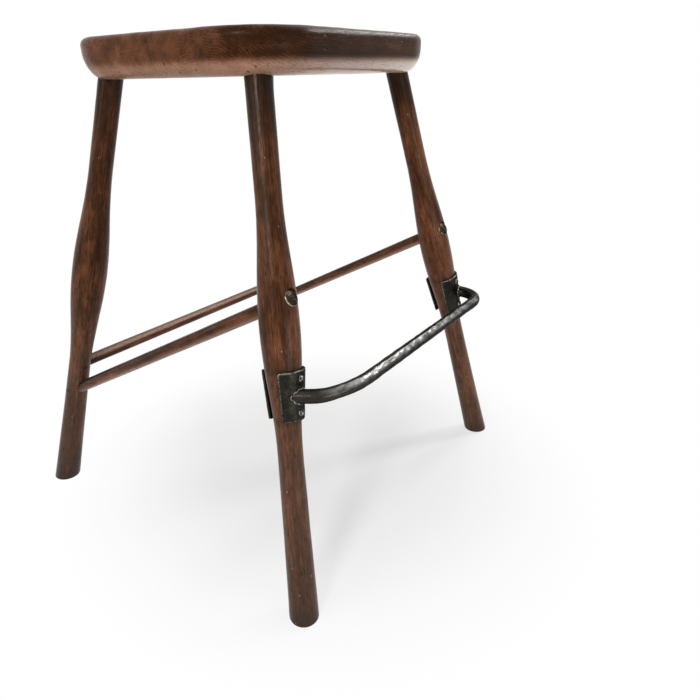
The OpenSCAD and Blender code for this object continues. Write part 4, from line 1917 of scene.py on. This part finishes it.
        # This mask, and the wear stored from it, carry the painted highlight as well as the wear
        worn = add("ShaderNodeMath", {0: high, 1: trodden_and_painted_highlight}, operation="MULTIPLY")
        rubbed = add("ShaderNodeMath", {0: worn, 1: mask}, operation="MULTIPLY")
        bar = recipe.beaten(tube, taken, rubbed)
        mesh = recipe.run(bar, line_curve("forged_bar", self._centre_line(), False), 60.0)
        hand_over("forged_bar", mesh, Slot.IRON, "footrest_bar")

    def _joint_line(self, side: Side) -> list[Vector]:
        """Finds the closed line where the bar's surface meets its saddle plate.

        Args:
            side: Which end.

        Returns:
            Its points, in millimetres.
        """
        points, heading = self._end(side, 0.0)
        tip = self._to_frame(side, points[-1:])[0]
        out, up = Vector((side.value * math.cos(heading), math.sin(heading), 0.0)), Vector((0, 0, 1))
        across = up.cross(out)
        leg = self.plan.leg_matrix(side, Row.FRONT).inverted()
        line = []
        for a in np.linspace(0, FULL_TURN, 72, endpoint=False):
            rim = tip + (across * math.cos(a) + up * math.sin(a)) * (self.dia / 2)
            # The plate's face lies somewhere from 30 mm before the tip to 18 mm past it
            low, high = -30.0, 18.0
            for _ in range(HALVINGS):
                mid = (low + high) / 2
                local = leg @ (rim + out * mid)
                if math.hypot(local.x, local.y) > self.plan.plate_radius(local.z):
                    low = mid
                else:
                    high = mid
            line.append(rim + out * low)
        return line

    def _weld(self, side: Side, finish: Material) -> None:
        """Lays overlapping ripples of weld along the joint.

        Args:
            side: Which end.
            finish: The weld's material.
        """
        recipe = GeometryRecipe(f"weld_{side}", {
            "Bead radius": self.bead_r * MM, "Ripple step": self.ripple * MM,
            "Roughness depth": self.bead_rough * MM, "Seed": 7 + side.value, "Finish": finish,
        })
        add, size = recipe.add, recipe.size
        path = {"Curve": size("Geometry"), "Length": size("Ripple step")}
        ripples = add("GeometryNodeResampleCurve", path, mode="LENGTH")
        ball = add("GeometryNodeMeshIcoSphere", {"Radius": size("Bead radius"), "Subdivisions": 4})
        bounds = {"Min": 0.72, "Max": 1.12, "Seed": size("Seed")}
        vary = add("FunctionNodeRandomValue", bounds, data_type="FLOAT").outputs["Value"]
        bead = recipe.filled(Points=ripples, Instance=ball, Scale=vary)
        # Lumps about 2.4 mm wide
        place = add("GeometryNodeInputPosition")
        lumps = add("ShaderNodeTexNoise", {"Vector": place, "Scale": 420.0, "Detail": 2.0})
        depth = add("ShaderNodeMath", {0: lumps, 1: size("Roughness depth")}, operation="MULTIPLY")
        wear = add("ShaderNodeMapRange", {"Value": lumps, "From Min": 0.55, "From Max": 0.35})
        rough = recipe.beaten(bead, depth, wear)
        mesh = recipe.run(rough, line_curve(f"weld_{side}", self._joint_line(side), True), 60.0)
        hand_over(f"weld_{side}", mesh, Slot.IRON, f"weld_bead_{side}")


# ---------------------------------------------------------------- the studio


@dataclass(frozen=True)
class Softbox:
    """A soft light that faces the stool, placed by its bearing, its height and its distance."""

    name: str
    azimuth: float
    elevation: float
    distance: float
    wide: float
    high: float
    radiance: float
    aim_height: float = 0.32

    def hang(self) -> None:
        """Adds the light. Its power follows from its size and how bright its face is."""
        data = bpy.data.lights.new(self.name, "AREA")
        data.shape, data.size, data.size_y = "RECTANGLE", self.wide, self.high
        data.energy = self.radiance * math.pi * self.wide * self.high
        lamp = new_object(self.name, data)
        flat, rise = math.radians(self.azimuth), math.radians(self.elevation)
        aim = Vector((0, 0, self.aim_height))
        outward = Vector((math.cos(flat) * math.cos(rise), math.sin(flat) * math.cos(rise), math.sin(rise)))
        lamp.location = aim + outward * self.distance
        lamp.rotation_euler = (-outward).to_track_quat("-Z", "Y").to_euler()
        lamp.visible_camera = False


@dataclass
class Studio:
    """Pale floor, soft lights and the camera."""

    camera_at: tuple[float, float, float] = (-0.704, -0.636, 0.660)
    camera_turn: tuple[float, float, float] = (64.34, 0.0, -55.55)
    lens_mm: float = 30.65
    ambient: float = 0.17
    floor_drop: float = 0.0002
    floor_half: float = 9.0

    def build(self) -> None:
        """Builds the camera, the floor, the world and the lamps."""
        bpy.context.scene.view_settings.view_transform = "Standard"
        self._camera()
        self._floor()
        self._world()
        for box in (
            Softbox("right_key", -32.0, 38.0, 2.6, 0.42, 0.42, 30.0),
            Softbox("back_key", -8.0, 38.0, 2.6, 0.60, 0.40, 12.0),
            Softbox("overhead", -12.0, 52.0, 2.6, 2.4, 2.0, 0.9),
            Softbox("front_low", -100.0, -6.0, 2.6, 1.2, 0.36, 9.5, aim_height=0.6),
            Softbox("left_low", 197.0, 31.0, 2.4, 0.44, 0.44, 36.0),
            Softbox("left_fill", 164.0, 22.0, 2.6, 1.3, 1.2, 2.4),
        ):
            box.hang()

    def _camera(self) -> None:
        """Places the camera."""
        data = bpy.data.cameras.new("camera")
        data.lens, data.sensor_width, data.sensor_fit = self.lens_mm, 36.0, "HORIZONTAL"
        data.clip_start, data.clip_end = 0.02, 60.0
        camera = new_object("camera", data)
        camera.location = self.camera_at
        camera.rotation_euler = [math.radians(a) for a in self.camera_turn]
        bpy.context.scene.camera = camera

    @staticmethod
    def _seen(add: Callable[..., Node]) -> Node:
        """Adds the nodes that are 1 for a ray by which the background itself is seen.

        Args:
            add: add_node bound to the tree.

        Returns:
            Output that is 1 for such a ray and 0 for others.
        """
        path = add("ShaderNodeLightPath").outputs
        seen: Any = path["Is Camera Ray"]
        for ray in ("Is Glossy Ray", "Is Transmission Ray"):
            seen = add("ShaderNodeMath", {0: seen, 1: path[ray]}, operation="MAXIMUM")
        return seen

    def _floor(self) -> None:
        """Lays the floor, which keeps the stool's soft shadow and fades to white around it."""
        half, low = self.floor_half, -self.floor_drop
        mesh = bpy.data.meshes.new("floor")
        corners = [(x * half, y * half, low) for x, y in ((-1, -1), (1, -1), (1, 1), (-1, 1))]
        mesh.from_pydata(corners, [], [(0, 1, 2, 3)])
        floor = new_object("floor", mesh)
        material, add = blank_material("white_painted_floor")
        place = add("ShaderNodeTexCoord").outputs["Object"]
        away = add(
            "ShaderNodeVectorMath", {0: place, 1: (0.03, -0.10, 0.0)}, operation="DISTANCE"
        ).outputs["Value"]
        fade = add(
            "ShaderNodeMapRange",
            {"Value": away, "From Min": 0.10, "From Max": 0.50, "To Min": 0.40, "To Max": 1.0},
            interpolation_type="SMOOTHSTEP",
        )
        # Painted shade: for light that bounces off it the paper greys away from the stool, standing in for a
        # dim room; the eye sees white there
        edge = add("ShaderNodeMapRange", {"Value": away, "From Min": 0.6, "From Max": 1.5})
        tints = {0: edge, 6: linear("#f4f4f4"), 7: linear("#8a8a8a")}
        paper = add("ShaderNodeMix", tints, data_type="RGBA")
        share = add("ShaderNodeMath", {0: fade, 1: self._seen(add)}, operation="MULTIPLY")
        paint = add("ShaderNodeBsdfDiffuse", {"Color": paper.outputs[2]})
        glow = add("ShaderNodeEmission", {"Color": linear("#ffffff"), "Strength": 1.0})
        mixed = add("ShaderNodeMixShader", {0: share, 1: paint, 2: glow})
        add("ShaderNodeOutputMaterial", {"Surface": mixed})
        mesh.materials.append(material)

    def _world(self) -> None:
        """Sets a white backdrop for the eye and for gloss, and a plain ambient light."""
        world = bpy.data.worlds.new("studio_world")
        bpy.context.scene.world = world
        world.use_nodes = True
        world.node_tree.nodes.clear()
        add = partial(add_node, world.node_tree)
        plain = add("ShaderNodeBackground", {"Color": linear("#ffffff"), "Strength": self.ambient})
        white = add("ShaderNodeBackground", {"Color": linear("#ffffff"), "Strength": 1.0})
        mixed = add("ShaderNodeMixShader", {0: self._seen(add), 1: plain, 2: white})
        add("ShaderNodeOutputWorld", {"Surface": mixed})


# ---------------------------------------------------------------- the whole stool


def build_stool(plan: StoolPlan, finishes: Finishes) -> None:
    """Builds every piece of the stool in order.

    Args:
        plan: Where the pieces stand.
        finishes: What they are made of.
    """
    screws = SlottedScrews(plan)
    SeatSlab(plan).build(finishes.seat_wood)
    for row in Row:
        for side in Side:
            TurnedLeg(plan, side, row, screws.recess).build(finishes.leg_wood)
    TenonWedges(plan).build(finishes.end_wood)
    for number, side in enumerate(Side):
        Stretcher(
            f"dowel_side_{side}", f"side_stretcher_{side}", plan.leg_point(side, Row.FRONT, screws.front_h),
            plan.leg_point(side, Row.BACK, screws.back_h), 1 + number,
        ).build(finishes.leg_wood)
    pegs = DowelPegs(plan)
    # The back stretcher's painted light is a highlight near its top, under a thin line of painted shade
    Stretcher(
        "dowel_back", "back_stretcher", plan.leg_point(Side.LEFT, Row.BACK, pegs.back_h),
        plan.leg_point(Side.RIGHT, Row.BACK, pegs.back_h), 3, painted_light_at=0.72,
        painted_light_run=0.28, painted_light=1.0, painted_shade_from=0.90,
    ).build(finishes.leg_wood)
    pegs.build(finishes.end_wood)
    screws.build(finishes.screw)
    LegIrons(plan).build(finishes.plate_iron, finishes.brushed_iron)
    ForgedFootrest(plan).build(finishes.bar_iron, finishes.brushed_iron)


def main() -> None:
    """Builds the stool and its studio."""
    logging.basicConfig(level=logging.INFO, format="%(name)s: %(message)s")
    Studio().build()
    build_stool(StoolPlan(), Finishes.build())


if __name__ == "__main__":
    main()
